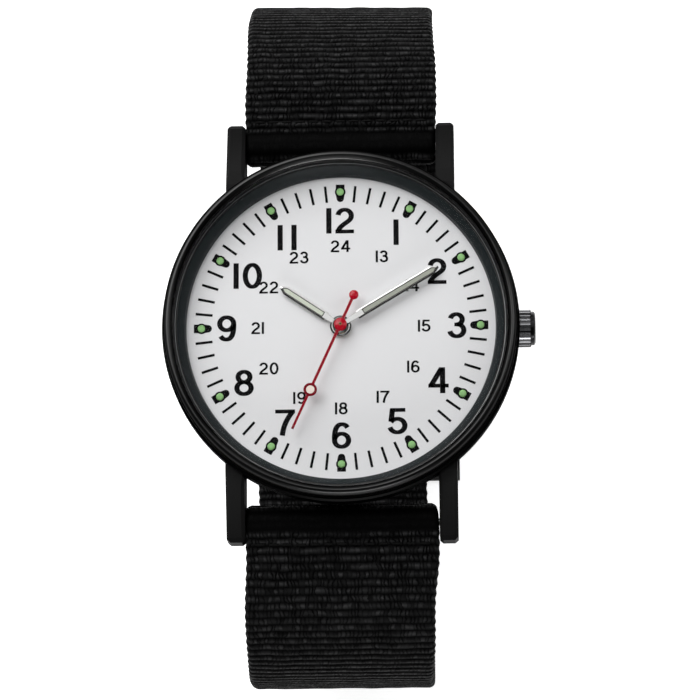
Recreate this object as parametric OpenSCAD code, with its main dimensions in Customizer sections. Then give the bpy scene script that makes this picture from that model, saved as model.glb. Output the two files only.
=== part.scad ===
// A three-hand quartz wristwatch on a closed two-piece webbing strap.
// The origin is the middle of the case back's outer face, on the axis of the hands.
// +Z runs out through the glass, +Y towards 12 o'clock and +X towards the crown at 3 o'clock.

/* [Case] */
// Diameter of the dial
dial_d = 33.8; // [33:0.1:35]
// Thickness of the dial
dial_t = 0.4; // [0.3:0.05:0.5]
// Radial gap between the dial and the bore of the case
dial_gap = 0.1; // [0.05:0.01:0.15]
// Width of the shelf that carries the edge of the glass
glass_seat = 0.15; // [0.1:0.01:0.25]
// Thickness of the glass
glass_t = 1.15; // [0.9:0.05:1.6]
// Radial width of the gasket round the glass
glass_gasket_w = 0.33; // [0.28:0.01:0.45]
// Width of the bezel ring outside the gasket
bezel_w = 0.89; // [0.8:0.01:1.3]
// Height of the bezel's crest above the glass
bezel_proud = 0.25; // [0.1:0.05:0.5]
// How far the flank of the case stands out past the bezel
flank_w = 0.4; // [0.3:0.05:0.8]
// Thickness of the neck that the bezel is pressed over
neck_t = 0.65; // [0.5:0.05:0.75]
// Height of the neck
neck_h = 0.5; // [0.4:0.05:0.8]
// Thickness of the shelf in the bezel below the glass
shelf_t = 0.28; // [0.2:0.02:0.5]
// Width of the sloped grey ring that shows at the edge of the dial
rehaut_w = 0.62; // [0.4:0.02:0.9]

/* [Case back] */
// Height from the outer face of the back to the underside of the case
back_h = 1.3; // [1.2:0.05:1.6]
// Thickness of the back plate
back_t = 0.9; // [0.7:0.05:1]
// Width of the sloped edge round the flat outer face
back_slope_w = 1.9; // [1:0.1:3]
// Height of the rim that snaps into the case
back_rim_h = 0.9; // [0.6:0.05:0.95]
// Width of the rubber ring between the rim and the case
back_gasket_w = 0.35; // [0.3:0.05:0.5]

/* [Lugs and spring bars] */
// How far the lugs reach out past the case
lug_reach = 3.8; // [3.5:0.1:4.7]
// Thickness of one lug
lug_w = 1.95; // [1.7:0.05:2.4]
// Distance from a lug's tip to its spring bar
bar_inset = 2.2; // [2:0.1:2.4]
// Height of the spring bars above the back
bar_z = 2.4; // [2.2:0.1:2.6]
// Width of the bevel along each lug's front edges
lug_bevel = 0.35; // [0.2:0.05:0.5]
// Outer diameter of a spring bar's tube
bar_d = 1.5; // [1.3:0.1:1.6]
// Diameter of a spring bar's pin
pin_d = 0.8; // [0.7:0.05:0.9]
// How far a spring bar's pin stands in its lug
pin_hold = 1; // [0.7:0.05:1.2]

/* [Strap and buckle] */
// Width of the webbing
strap_w = 20; // [19:0.5:22]
// Thickness of the webbing
strap_t = 1.15; // [1:0.05:1.3]
// Depth of the loop's outer layer below the back of the case
loop_depth = 47; // [44:0.5:52]
// Distance of the buckle's bar from the hands' axis, towards 12 o'clock
buckle_y = 7; // [6:0.5:8]
// Inside length of the buckle, from its bar to its front rail
buckle_l = 12.6; // [11.6:0.2:13.4]
// Thickness of the buckle's wire
buckle_wire = 1.5; // [1.4:0.05:1.6]
// Width of the tongue
tongue_w = 1.6; // [1.2:0.1:2]
// Diameter of the holes in the strap
hole_d = 2.4; // [2.3:0.05:2.6]
// Distance between neighbouring holes
hole_pitch = 6.5; // [6:0.25:8]
// Length of the end that lies over the short half past its bend
tail_l = 16; // [12:0.5:22]
// Width of each keeper along the strap
keeper_w = 3.75; // [3:0.25:4.5]
// Thickness of a keeper's band
keeper_t = 1.2; // [1:0.05:1.3]
// How far the loose keeper slides
keeper_travel = 3.5; // [1:0.25:3.75]

/* [Hands] */
// Reach of the hour hand from the centre
hour_l = 7.65; // [7:0.05:9]
// Reach of the minute hand from the centre
minute_l = 12; // [11:0.05:13]
// Reach of the second hand from the centre
second_l = 12; // [11:0.05:13]
// Width of the hour and minute hands
hand_w = 0.94; // [0.8:0.02:1.2]
// Distance from the centre to the shoulders of the hour hand
hour_shoulder = 1.85; // [1.5:0.05:3]
// Distance from the centre to the shoulders of the minute hand
minute_shoulder = 2.05; // [1.5:0.05:3]
// Thickness of the hour and minute hands
hand_t = 0.15; // [0.1:0.01:0.18]
// Height of the hour hand above the dial
hour_rise = 0.45; // [0.4:0.05:0.6]
// Gap between one hand and the next
hand_gap = 0.25; // [0.2:0.05:0.35]
// Radius at which the middle of the second hand's ring lies
ring_reach = 7.67; // [6:0.05:9]
// Length of the second hand's tail to the middle of its ball
tail_reach = 3.45; // [3:0.05:5]

/* [Crown] */
// Diameter of the crown
crown_d = 4; // [3.6:0.1:4.4]
// Length of the crown
crown_l = 1.85; // [1.7:0.05:2.2]
// Number of ridges round the crown
crown_ridges = 24; // [16:1:32]
// How far the crown pulls out to set the hands
crown_pull = 0.9; // [0.8:0.05:0.95]
// Diameter of the stem
stem_d = 0.9; // [0.8:0.05:1]

/* [Movement] */
// Diameter of the movement
move_d = 25.6; // [25.2:0.1:26.4]
// Thickness of the movement from its back to its dial side
move_t = 3.2; // [3.2:0.05:3.4]
// Thickness of the main plate
plate_t = 1.3; // [1.2:0.05:1.4]
// Height of the space for the motion wheels under the dial
motion_h = 0.7; // [0.7:0.05:0.9]
// Diameter of the battery
battery_d = 6.8; // [5.8:0.1:6.8]
// Thickness of the battery
battery_t = 2.6; // [1.6:0.1:2.6]
// Length of the coil's winding
coil_l = 8.7; // [7:0.1:9]
// Diameter of the coil's winding
coil_d = 1.6; // [1.3:0.05:1.6]

/* [Hidden] */
$fn = 64;

// Clearances
press_gap = 0.02;
run_gap = 0.05;
free_gap = 0.3;
cut = 1;

// Heights, from the back upwards
plate_z = back_t + 0.2 + move_t - plate_t;
plate_top = plate_z + plate_t;
dial_z = plate_top + motion_h;
dial_top = dial_z + dial_t;
hub_over = 0.18;
second_t = 0.12;
hour_z = dial_top + hour_rise;
minute_z = hour_z + hand_t + hand_gap;
second_z = minute_z + hand_t + hand_gap;
glass_gap = 0.25;
glass_z = second_z + second_t + hub_over + glass_gap;
glass_top = glass_z + glass_t;
bezel_top = glass_top + bezel_proud;
shelf_z = glass_z - shelf_t;
neck_top = shelf_z - press_gap;
shoulder_z = neck_top - neck_h;

deep = 2 * bezel_top;

// Radii, from the dial outwards
dial_r = dial_d / 2;
bore_r = dial_r + dial_gap;
glass_r = bore_r + glass_seat;
shelf_r = bore_r - 0.1;
gasket_r = glass_r + press_gap + glass_gasket_w;
bezel_in = gasket_r + press_gap;
bezel_r = bezel_in + bezel_w;
neck_r = bore_r + neck_t;
case_r = bezel_r + flank_w;
crest_r = bezel_r - 0.34;
foot_r = bore_r + 0.45;

// Flank of the case: a vertical band over a cone with a slight belly
band_h = 1.6;
flank_z = shoulder_z - 0.2 - band_h;
belly = 0.12;

// Back
back_flange_r = foot_r + 0.1;
back_flange_t = 0.5;
back_rim_r = bore_r - press_gap - back_gasket_w;
back_rim_t = 0.7;

// Lugs
lug_in = strap_w / 2 + 0.15;
lug_out = lug_in + lug_w;
lug_tip = case_r + lug_reach;
bar_y = lug_tip - bar_inset;
lug_low = bar_z - pin_d / 2 - 0.95;
lug_tip_top = dial_top - 1;
lug_root_y = bore_r * 0.7;

// Spring bars
bar_l = 2 * (lug_in - free_gap);
pin_tip = lug_in + pin_hold;
lip_t = 0.4;
collar_l = 0.9;
tube_bore = bar_d - 0.3;
spring_turns = 18;
spring_wire = 0.16;

// Strap folds
fold_r = bar_d / 2 + run_gap + strap_t;
fold_mid = fold_r - strap_t / 2;
flap_l = 5;
layer_gap = 0.35;

// Crown and stem
stem_z = plate_top - 0.9;
crown_notch = free_gap;
crown_x = case_r - 0.5 + crown_notch;
cap_l = 0.5;
cap_d = crown_d - 0.4;
tube_d = stem_d + 0.6;
tube_end = crown_x + crown_pull + 0.3;
crown_hollow_d = tube_d + 0.7;
plate_r = move_d / 2;
holder_in = plate_r + 0.1;

// Teeth and modules of the train
rotor_n = 6;
fifth_n = 36;
fifth_pinion_n = 6;
fourth_n = 30;
fourth_pinion_n = 8;
third_n = 60;
third_pinion_n = 8;
centre_n = 64;
cannon_n = 12;
minute_n = 36;
minute_pinion_n = 10;
hour_n = 40;
setting_n = 20;
rotor_m = 0.12;
fifth_m = 0.175;
fourth_m = 0.09;
third_m = fourth_m * (fourth_pinion_n + third_n) / (third_pinion_n + centre_n);
motion_m = 0.11;
hour_m = motion_m * (cannon_n + minute_n) / (minute_pinion_n + hour_n);

// Directions from one axis to the next
third_dir = 170;
fifth_dir = -75;
rotor_dir = -100;
minute_dir = 20;
setting_dir = -6.5;

// Axes of the train
function polar(r, a) = [r * cos(a), r * sin(a)];
function spacing(m, n1, n2) = m * (n1 + n2) / 2;
third_at = polar(spacing(fourth_m, fourth_pinion_n, third_n), third_dir);
fifth_at = polar(spacing(fifth_m, fifth_pinion_n, fourth_n), fifth_dir);
rotor_at = fifth_at + polar(spacing(rotor_m, rotor_n, fifth_n), rotor_dir);
minute_at = polar(spacing(motion_m, cannon_n, minute_n), minute_dir);
setting_at = minute_at + polar(spacing(motion_m, minute_n, setting_n), setting_dir);

// Turn of a wheel that puts its teeth in mesh with the wheel before it
function phase(n1, turn1, dir, n2) =
    let (f = (dir - turn1) * n1 / 360)
    dir + 180 + (f - floor(f) + 0.5) * 360 / n2;
third_turn = phase(fourth_pinion_n, 0, third_dir, third_n);
centre_turn = phase(third_pinion_n, third_turn, third_dir + 180, centre_n);
fifth_turn = phase(fourth_n, 0, fifth_dir, fifth_pinion_n);
rotor_turn = phase(fifth_n, fifth_turn, rotor_dir, rotor_n);
minute_turn = phase(cannon_n, 0, minute_dir, minute_n);
hour_turn = phase(minute_pinion_n, minute_turn, minute_dir + 180, hour_n);
setting_turn = phase(minute_n, minute_turn, setting_dir, setting_n);

// Clock directions of the hands, clockwise from 12
hour_at_deg = 304.1;
minute_at_deg = 59.1;
second_at_deg = 204.5;

// Arbors
pivot_r = 0.08;
arbor_r = 0.12;
cannon_r = 0.4;
hour_tube_r = 0.75;
stud_r = 0.2;

// Heights of the train
bridge_t = 0.4;
bridge_z = plate_z - 1.8;
bridge_top = bridge_z + bridge_t;
fifth_z = bridge_top + 0.05;
fourth_z = bridge_top + 0.25;
third_z = bridge_top + 0.65;
centre_z = plate_z - 0.3;
wheel_t = 0.15;
pillar_r = 0.7;
pillars = [[3.9, -1.9], [-3.6, -3.5], [-0.9, 3.9]];

// Motor
stator_t = 0.4;
stator_z = plate_z - 0.7;
stator_hole_r = 1;
magnet_r = 0.75;
stator_arm_w = 1.6;
coil_y = -0.75 * plate_r;
coil_ends = plate_r * [-0.406, 0.461];
core_z = stator_z - stator_t;

// Battery
battery_at = plate_r * [-0.492, 0.492];
battery_z = plate_z - 1.7;
clamp_t = 0.1;
clamp_post_at = plate_r * [-0.805, 0.094];

// Setting works
pilot_x = 5.4;
square_x = 6.5;
guide_x = 6.2;
window_x = 7.3;
clutch_x = 7.45;
clutch_l = 1.5;
clutch_r = 1;
lever_window_x = 9.3;
groove_x = 9.45;
groove_w = 0.6;
groove_r = 0.22;
outer_guide_x = 11.1;
lever_pin_r = 0.15;
lever_arm = 2.1;
lever_at = [groove_x + (groove_w + crown_pull) / 2, groove_r + run_gap + lever_pin_r + lever_arm];
lever_t = 0.25;
lever_z = plate_z - 0.8;
lever_start = asin(crown_pull / 2 / lever_arm);
yoke_at = [lever_window_x + 0.1, -3];
yoke_t = 0.2;
yoke_z = plate_z - 0.45;
screw_r = 0.22;
screw_head_r = 0.5;
screw_head_t = 0.23;

// Coil screws and board
board_t = 0.25;
board_z = plate_z - board_t;
can_d = 1.4;
can_l = 5;

// Colours
black_coat = [0.05, 0.05, 0.055];
webbing = [0.09, 0.09, 0.1];
steel = [0.75, 0.76, 0.78];
brass = [0.8, 0.66, 0.36];
lume = [0.78, 0.82, 0.72];

// Route of the strap
// A pose is [y, z, heading], and a run is [radius, angle] for a bend or [length, 0] for a straight.
function run_l(run) = run[1] == 0 ? run[0] : run[0] * run[1] * PI / 180;
function move(pose, run, s) =
    run[1] == 0
    ? [pose[0] + s * cos(pose[2]), pose[1] + s * sin(pose[2]), pose[2]]
    : let (h = pose[2] - s / run[0] * 180 / PI)
      [pose[0] + run[0] * (sin(pose[2]) - sin(h)), pose[1] + run[0] * (cos(h) - cos(pose[2])), h];
function route_l(runs, i = 0) = i == len(runs) ? 0 : run_l(runs[i]) + route_l(runs, i + 1);
function pose_at(pose, runs, s, i = 0) =
    i == len(runs) - 1 || s <= run_l(runs[i])
    ? move(pose, runs[i], s)
    : pose_at(move(pose, runs[i], run_l(runs[i])), runs, s - run_l(runs[i]), i + 1);
function route(pose, runs, step = 1.8) =
    let (l = route_l(runs), n = ceil(l / step))
    [for (i = [0 : n]) pose_at(pose, runs, l * i / n)];
function side(pose, d) = [pose[0] - d * sin(pose[2]), pose[1] + d * cos(pose[2])];
function band(poses, t) = concat(
    [for (p = poses) side(p, t / 2)],
    [for (i = [len(poses) - 1 : -1 : 0]) side(poses[i], -t / 2)]
);

// Both halves leave their bars almost level, and bend down round the wrist
outer_z = -loop_depth;
inner_z = outer_z + strap_t + layer_gap;
lean = 15;
function leave(h) = [bar_y - fold_mid * sin(h), bar_z + fold_mid * cos(h), h];

// Half with the buckle, on the 12 o'clock side
up_start = leave(-3.5);
up_shoulder = [22.1, 73];
up_flank = [33, 13.5 + lean];
up_knee = move(move(up_start, up_shoulder, run_l(up_shoulder)), up_flank, run_l(up_flank));
heel_r = 16;
heel_drop = up_knee[1] - inner_z - heel_r * (1 - sin(lean));
up_runs = [up_shoulder, up_flank, [heel_drop / cos(lean), 0], [heel_r, 90 - lean]];
up_heel = pose_at(up_start, up_runs, route_l(up_runs));
bar2_z = inner_z + fold_mid;
up_all = concat(up_runs, [[up_heel[0] - buckle_y, 0]]);

// Half with the holes, on the 6 o'clock side, laid out with its own side as positive
low_start = leave(-4);
low_shoulder = [15.15, 86];
low_flank = [60, lean];
low_knee = move(move(low_start, low_shoulder, run_l(low_shoulder)), low_flank, run_l(low_flank));
sole_r = (low_knee[1] - outer_z) / (1 - sin(lean));
low_runs = [low_shoulder, low_flank, [sole_r, 90 - lean]];
low_sole = pose_at(low_start, low_runs, route_l(low_runs));
low_flat = low_sole[0] + up_heel[0];
low_all = concat(low_runs, [[low_flat, 0], [heel_r + strap_t + layer_gap, tail_l / heel_r * 180 / PI]]);
low_l = route_l(low_all);

// Tongue, from the buckle's bar through the strap to the front rail
tongue_t = 0.7;
tongue_dir = -125;
rail_r = buckle_wire / 2;
rail_y = buckle_y - buckle_l;
rail_z = outer_z - strap_t / 2 - 0.175 - rail_r;
base_z = rail_z - rail_r;
tongue_end_z = base_z + tongue_t / 2;
tongue_slope = 3.5;
tongue_bend_r = 1.2;
tongue_bend = 180 - tongue_slope + tongue_dir;
tongue_out = tongue_bend_r * (sin(-tongue_dir) - sin(tongue_slope));
tongue_drop = tongue_bend_r * (cos(tongue_slope) + cos(tongue_dir));
tongue_down = (bar2_z - tongue_end_z - tongue_drop - (buckle_l - tongue_out) * tan(tongue_slope))
    / (sin(-tongue_dir) + cos(tongue_dir) * tan(tongue_slope));
tongue_flat = (buckle_l - tongue_out + tongue_down * cos(tongue_dir)) / cos(tongue_slope);
tongue_runs = [[tongue_down, 0], [tongue_bend_r, tongue_bend], [tongue_flat, 0]];
hole_y = buckle_y + (bar2_z - outer_z) * cos(tongue_dir) / sin(-tongue_dir);
hole_s = route_l(low_runs) + low_sole[0] + hole_y;
buckle_flap_l = 4.2;
keeper_y = buckle_y + buckle_flap_l + 0.15;
keeper_slack = 0.3;

// Outline of a toothed wheel, each tooth a trapezium
function teeth(n, m, turn) = [
    for (i = [0 : n - 1]) for (k = [[-0.27, -1.15], [-0.12, 0.9], [0.12, 0.9], [0.27, -1.15]])
    polar(m * (n / 2 + k[1]), turn + (i + k[0]) * 360 / n)
];

module at(p, z = 0) translate([p[0], p[1], z]) children();
module disc(r, h, z = 0) translate([0, 0, z]) cylinder(r = r, h = h);
module along_x(x, r, l) translate([x, 0, 0]) rotate([0, 90, 0]) cylinder(r = r, h = l);
module ring(r1, r2, h, z = 0) translate([0, 0, z]) difference() {
    cylinder(r = r2, h = h);
    translate([0, 0, -cut]) cylinder(r = r1, h = h + 2 * cut);
}
module gear(n, m, turn, t, z) translate([0, 0, z]) linear_extrude(t) polygon(teeth(n, m, turn));
// Sweeps a [y, z] outline across the watch, from -w / 2 to w / 2
module across(w) rotate([90, 0, 90]) linear_extrude(w, center = true) children();
module both_ends() {
    children();
    mirror([0, 1, 0]) children();
}
module both_sides() {
    children();
    mirror([1, 0, 0]) children();
}
// Bar from one point to another with round ends
module link(a, b, w, t, z) {
    d = b - a;
    at(a, z) {
        disc(w / 2, t);
        rotate(atan2(d[1], d[0])) translate([0, -w / 2, 0]) cube([norm(d), w, t]);
    }
    at(b, z) disc(w / 2, t);
}

// Case

module flank() rotate_extrude($fn = 128) polygon(concat(
    [[bore_r, back_h]],
    [for (i = [0 : 8]) let (t = i / 8)
        [foot_r + (case_r - foot_r) * t + belly * sin(180 * t), back_h + (flank_z - back_h) * t]],
    [[case_r, shoulder_z - 0.2], [case_r - 0.2, shoulder_z], [neck_r, shoulder_z],
     [neck_r, neck_top], [bore_r, neck_top]]
));

// Lug seen from the side, from its root in the case wall to its tip
module lug_side() polygon([
    [lug_root_y, shoulder_z - 0.6], [lug_root_y, back_h + 0.3], [bar_y - 2.6, lug_low + 0.1],
    [bar_y - 1.4, lug_low], [lug_tip - 0.8, lug_low], [lug_tip, lug_low + 0.7],
    [lug_tip, lug_tip_top - 0.5], [lug_tip - 0.45, lug_tip_top],
    [bore_r, shoulder_z - 0.35], [bore_r - 1.5, shoulder_z - 0.15]
]);

module lug() {
    slope = atan2(shoulder_z - 0.35 - lug_tip_top, lug_tip - 0.45 - bore_r);
    difference() {
        translate([(lug_in + lug_out) / 2, 0, 0]) across(lug_w) lug_side();
        for (x = [lug_in, lug_out])
            translate([x, lug_tip - 0.45, lug_tip_top]) rotate([-slope, 0, 0]) rotate([0, 45, 0])
                cube([lug_bevel * sqrt(2), 2 * deep, lug_bevel * sqrt(2)], center = true);
        for (x = [lug_in, lug_out])
            translate([x, lug_tip, 0]) rotate(45)
                cube([lug_bevel * sqrt(2), lug_bevel * sqrt(2), 2 * deep], center = true);
    }
}

module case_middle() color(black_coat) difference() {
    union() {
        flank();
        difference() {
            both_ends() both_sides() lug();
            translate([0, 0, back_h]) cylinder(r = bore_r + 0.5, h = bezel_top);
            translate([0, 0, -cut]) cylinder(r = foot_r, h = back_h + 2 * cut);
        }
    }
    // Seats of the spring bar pins
    both_ends() both_sides() translate([lug_in - cut, bar_y, bar_z])
        along_x(0, pin_d / 2 + run_gap, pin_hold + 0.15 + cut);
    // Hole of the crown tube, and the notch that the crown sits in
    translate([0, 0, stem_z]) {
        along_x(bore_r - cut, tube_d / 2 + press_gap, 4);
        along_x(crown_x - crown_notch, crown_d / 2 + 0.35, 4);
    }
}

module bezel() color(black_coat) rotate_extrude($fn = 128) polygon(concat(
    [[neck_r + press_gap, shoulder_z], [bezel_r, shoulder_z]],
    [for (a = [0 : 15 : 90]) [crest_r + (bezel_r - crest_r) * cos(a), bezel_top - 0.6 * (1 - sin(a))]],
    [[bezel_in, bezel_top - 0.35], [bezel_in, glass_z], [shelf_r, glass_z], [shelf_r, shelf_z],
     [neck_r + press_gap, shelf_z]]
));

module crystal() color([0.8, 0.9, 0.95, 0.3]) rotate_extrude($fn = 128) polygon([
    [0, glass_z], [glass_r, glass_z], [glass_r, glass_top - 0.12], [glass_r - 0.12, glass_top],
    [0, glass_top]
]);

module crystal_gasket() color("black")
    ring(glass_r + press_gap, gasket_r, glass_t - 0.2, glass_z, $fn = 128);

module rehaut_ring() color("slategray") rotate_extrude($fn = 128) polygon([
    [dial_r - rehaut_w, dial_top], [bore_r - press_gap, dial_top], [bore_r - press_gap, neck_top],
    [shelf_r - 0.05, neck_top], [dial_r - rehaut_w, dial_top + 0.15]
]);

module case_back() color(steel) rotate_extrude($fn = 128) polygon([
    [0, 0], [back_flange_r - back_slope_w, 0], [back_flange_r, back_h - back_flange_t],
    [back_flange_r, back_h], [back_rim_r, back_h], [back_rim_r, back_t + back_rim_h + 0.4],
    [back_rim_r - back_rim_t, back_t + back_rim_h + 0.4], [back_rim_r - back_rim_t, back_t],
    [0, back_t]
]);

module case_back_gasket() color("black")
    ring(back_rim_r, bore_r - press_gap, 0.6, back_h, $fn = 128);

// Dial and hands

module dial() color("white") {
    ring(0.9, dial_r, dial_t, dial_z, $fn = 128);
    for (a = [75, 255]) at(polar(plate_r - 0.7, a), dial_z - 1.6) disc(0.35, 1.6);
}

module dial_lume_dots() color([0.5, 0.75, 0.43])
    for (a = [0 : 30 : 330]) at(polar(dial_r - 2.15, a), dial_top) disc(0.34, 0.05, $fn = 24);

// Outline of a baton hand that points along +Y, from start to l, inset by d
module baton(start, l, d = 0) {
    w = hand_w / 2 - d;
    tip = max(0.12 - d, 0.03);
    polygon([[-w, start], [-w, l - 0.75], [-tip, l - d], [tip, l - d], [w, l - 0.75], [w, start]]);
}

// Hand with a round hub, a widening neck, square shoulders, and a frame round the window
// for its glowing insert
hand_frame_w = 0.2;
module hand(l, hub_r, hole_r, shoulder, window) difference() {
    union() {
        cylinder(r = hub_r, h = hand_t);
        linear_extrude(hand_t) {
            polygon([[-0.24, 0], [-0.33, shoulder + 0.1], [0.33, shoulder + 0.1], [0.24, 0]]);
            baton(shoulder, l);
        }
    }
    translate([0, 0, -cut]) {
        cylinder(r = hole_r, h = hand_t + 2 * cut);
        linear_extrude(hand_t + 2 * cut) baton(window, l, hand_frame_w);
    }
}
module hand_lume(l, window) translate([0, 0, hand_t * 0.2]) linear_extrude(hand_t * 0.6)
    baton(window, l, hand_frame_w);

module hour_hand() color(steel) translate([0, 0, hour_z]) rotate(-hour_at_deg)
    hand(hour_l, 1.12, hour_tube_r + press_gap, hour_shoulder, hour_shoulder + 0.35);
module hour_hand_lume() color(lume) translate([0, 0, hour_z]) rotate(-hour_at_deg)
    hand_lume(hour_l, hour_shoulder + 0.35);
module minute_hand() color(steel) translate([0, 0, minute_z]) rotate(-minute_at_deg)
    hand(minute_l, 0.85, cannon_r + press_gap, minute_shoulder, minute_shoulder + 0.75);
module minute_hand_lume() color(lume) translate([0, 0, minute_z]) rotate(-minute_at_deg)
    hand_lume(minute_l, minute_shoulder + 0.75);

// Drop of lacquer: a flat disc of radius r and height h with a domed top, rise high
module drop(r, h, rise) {
    dome_r = (r * r + rise * rise) / (2 * rise);
    edge = asin(r / dome_r);
    rotate_extrude() polygon(concat([[0, 0], [r, 0]], [
        for (k = [8 : -1 : 0]) [dome_r * sin(edge * k / 8), h + rise - dome_r * (1 - cos(edge * k / 8))]
    ]));
}

// Thin needle with a drop on its tail, a ring near its tip and a domed hub cap
module second_hand() color("red") translate([0, 0, second_z]) rotate(-second_at_deg) difference() {
    union() {
        linear_extrude(second_t) {
            polygon([[-0.15, -tail_reach], [-0.15, 0], [-0.11, second_l], [0.11, second_l], [0.15, 0],
                [0.15, -tail_reach]]);
            translate([0, ring_reach]) circle(0.7);
        }
        translate([0, -tail_reach, 0]) drop(0.5, second_t, hub_over * 0.8);
        translate([0, 0, -0.1]) drop(0.67, second_t + 0.1, hub_over);
    }
    translate([0, ring_reach, -cut]) cylinder(r = 0.45, h = second_t + 2 * cut);
    translate([0, 0, -cut]) cylinder(r = arbor_r + 0.01, h = second_t + cut);
}
module second_hand_lume() color([0.9, 0.88, 0.78]) translate([0, 0, second_z + 0.02])
    rotate(-second_at_deg) translate([0, ring_reach, 0]) disc(0.45, second_t - 0.04);

// Crown and setting works

module crown() color(black_coat) translate([0, 0, stem_z]) difference() {
    intersection() {
        translate([crown_x, 0, 0]) rotate([90, 0, 90]) linear_extrude(crown_l) polygon([
            for (i = [0 : crown_ridges - 1]) for (k = [[-0.3, -0.16], [-0.14, 0], [0.14, 0], [0.3, -0.16]])
            polar(crown_d / 2 + k[1], (i + k[0]) * 360 / crown_ridges)
        ]);
        translate([crown_x, 0, 0]) rotate([0, 90, 0]) rotate_extrude() polygon([
            [0, 0], [crown_d / 2 - 0.12, 0], [crown_d / 2, 0.1], [crown_d / 2, crown_l - cap_l],
            [cap_d / 2, crown_l - cap_l + 0.04], [cap_d / 2, crown_l - 0.15], [cap_d / 2 - 0.2, crown_l],
            [0, crown_l]
        ]);
    }
    along_x(crown_x - cut, crown_hollow_d / 2, cut + tube_end - crown_x + 0.2);
    along_x(crown_x - cut, stem_d / 2 + 0.01, cut + crown_l - 0.25);
}

module crown_tube() color(steel) translate([0, 0, stem_z]) difference() {
    along_x(bore_r - 0.05, tube_d / 2, tube_end - bore_r + 0.05);
    along_x(bore_r - cut, stem_d / 2 + run_gap, 5);
}

module crown_gasket() color("black") translate([0, 0, stem_z]) difference() {
    along_x(crown_x + 0.05, crown_hollow_d / 2 - 0.01, 0.25);
    along_x(crown_x - cut, tube_d / 2 + run_gap, 3);
}

// Round pilot, square for the clutch, groove for the lever, and a long shank up into the crown
module stem() color(steel) translate([0, 0, stem_z]) {
    along_x(pilot_x, stem_d * 0.4, square_x - pilot_x);
    translate([square_x, -stem_d * 0.27, -stem_d * 0.27])
        cube([lever_window_x - 0.2 - square_x, stem_d * 0.54, stem_d * 0.54]);
    along_x(lever_window_x - 0.2, stem_d / 2, groove_x - lever_window_x + 0.2);
    along_x(groove_x, groove_r, groove_w);
    along_x(groove_x + groove_w, stem_d / 2, crown_x + crown_l - 0.3 - groove_x - groove_w);
}

// Slides on the stem's square, and carries face teeth on its inner end
module clutch_wheel() color(steel) translate([0, 0, stem_z]) difference() {
    union() {
        along_x(clutch_x + 0.25, clutch_r, 0.3);
        along_x(clutch_x + 0.55, clutch_r * 0.6, 0.7);
        along_x(clutch_x + 1.25, clutch_r, clutch_l - 1.25);
        for (i = [0 : 11]) rotate([30 * i, 0, 0])
            translate([clutch_x, -0.09, clutch_r - 0.4]) cube([0.3, 0.18, 0.35]);
    }
    translate([clutch_x - cut, -stem_d * 0.27 - run_gap, -stem_d * 0.27 - run_gap])
        cube([clutch_l + 2 * cut, stem_d * 0.54 + 2 * run_gap, stem_d * 0.54 + 2 * run_gap]);
}

// Turns on its screw and is led by the stem's groove
module setting_lever() color(steel) at(lever_at) rotate(-lever_start) difference() {
    union() {
        link([0, 0], [0, -lever_arm], 0.8, lever_t, lever_z);
        link([0, 0], [0.9, 1.1], 0.8, lever_t, lever_z);
        translate([0, -lever_arm, lever_z]) disc(lever_pin_r, stem_z + 0.3 - lever_z);
    }
    translate([0, 0, lever_z - cut]) cylinder(r = 0.35, h = 3);
}

// Its tip stands in the clutch wheel's groove
module yoke() color(steel) at(yoke_at) difference() {
    union() {
        link([0, 0], [clutch_x + 0.9 - yoke_at[0], -0.5 - yoke_at[1]], 0.42, yoke_t, yoke_z);
        link([0, 0], [1.3, -0.6], 0.9, yoke_t, yoke_z);
        disc(0.6, yoke_t, yoke_z);
    }
    translate([0, 0, yoke_z - cut]) cylinder(r = 0.35, h = 3);
}

// Movement

module movement_holder() color("whitesmoke") difference() {
    rotate_extrude($fn = 128) polygon([
        [holder_in, back_t + 0.2], [back_rim_r - back_rim_t - 0.1, back_t + 0.2],
        [back_rim_r - back_rim_t - 0.1, back_t + back_rim_h + 0.55],
        [bore_r - 0.1, back_t + back_rim_h + 0.55], [bore_r - 0.1, dial_z], [holder_in, dial_z]
    ]);
    translate([0, 0, stem_z]) along_x(holder_in - cut, stem_d / 2 + 0.25, 6);
    // Pockets that lighten the ring from the back
    for (a = [22.5 : 45 : 350]) rotate(a - 14) translate([0, 0, back_t])
        rotate_extrude(angle = 28) translate([holder_in + 0.8, 0]) square([1.1, 2.6]);
}

module arbor_hole(p, r = pivot_r) at(p, bridge_z - cut) disc(r + run_gap, deep, $fn = 24);

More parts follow.
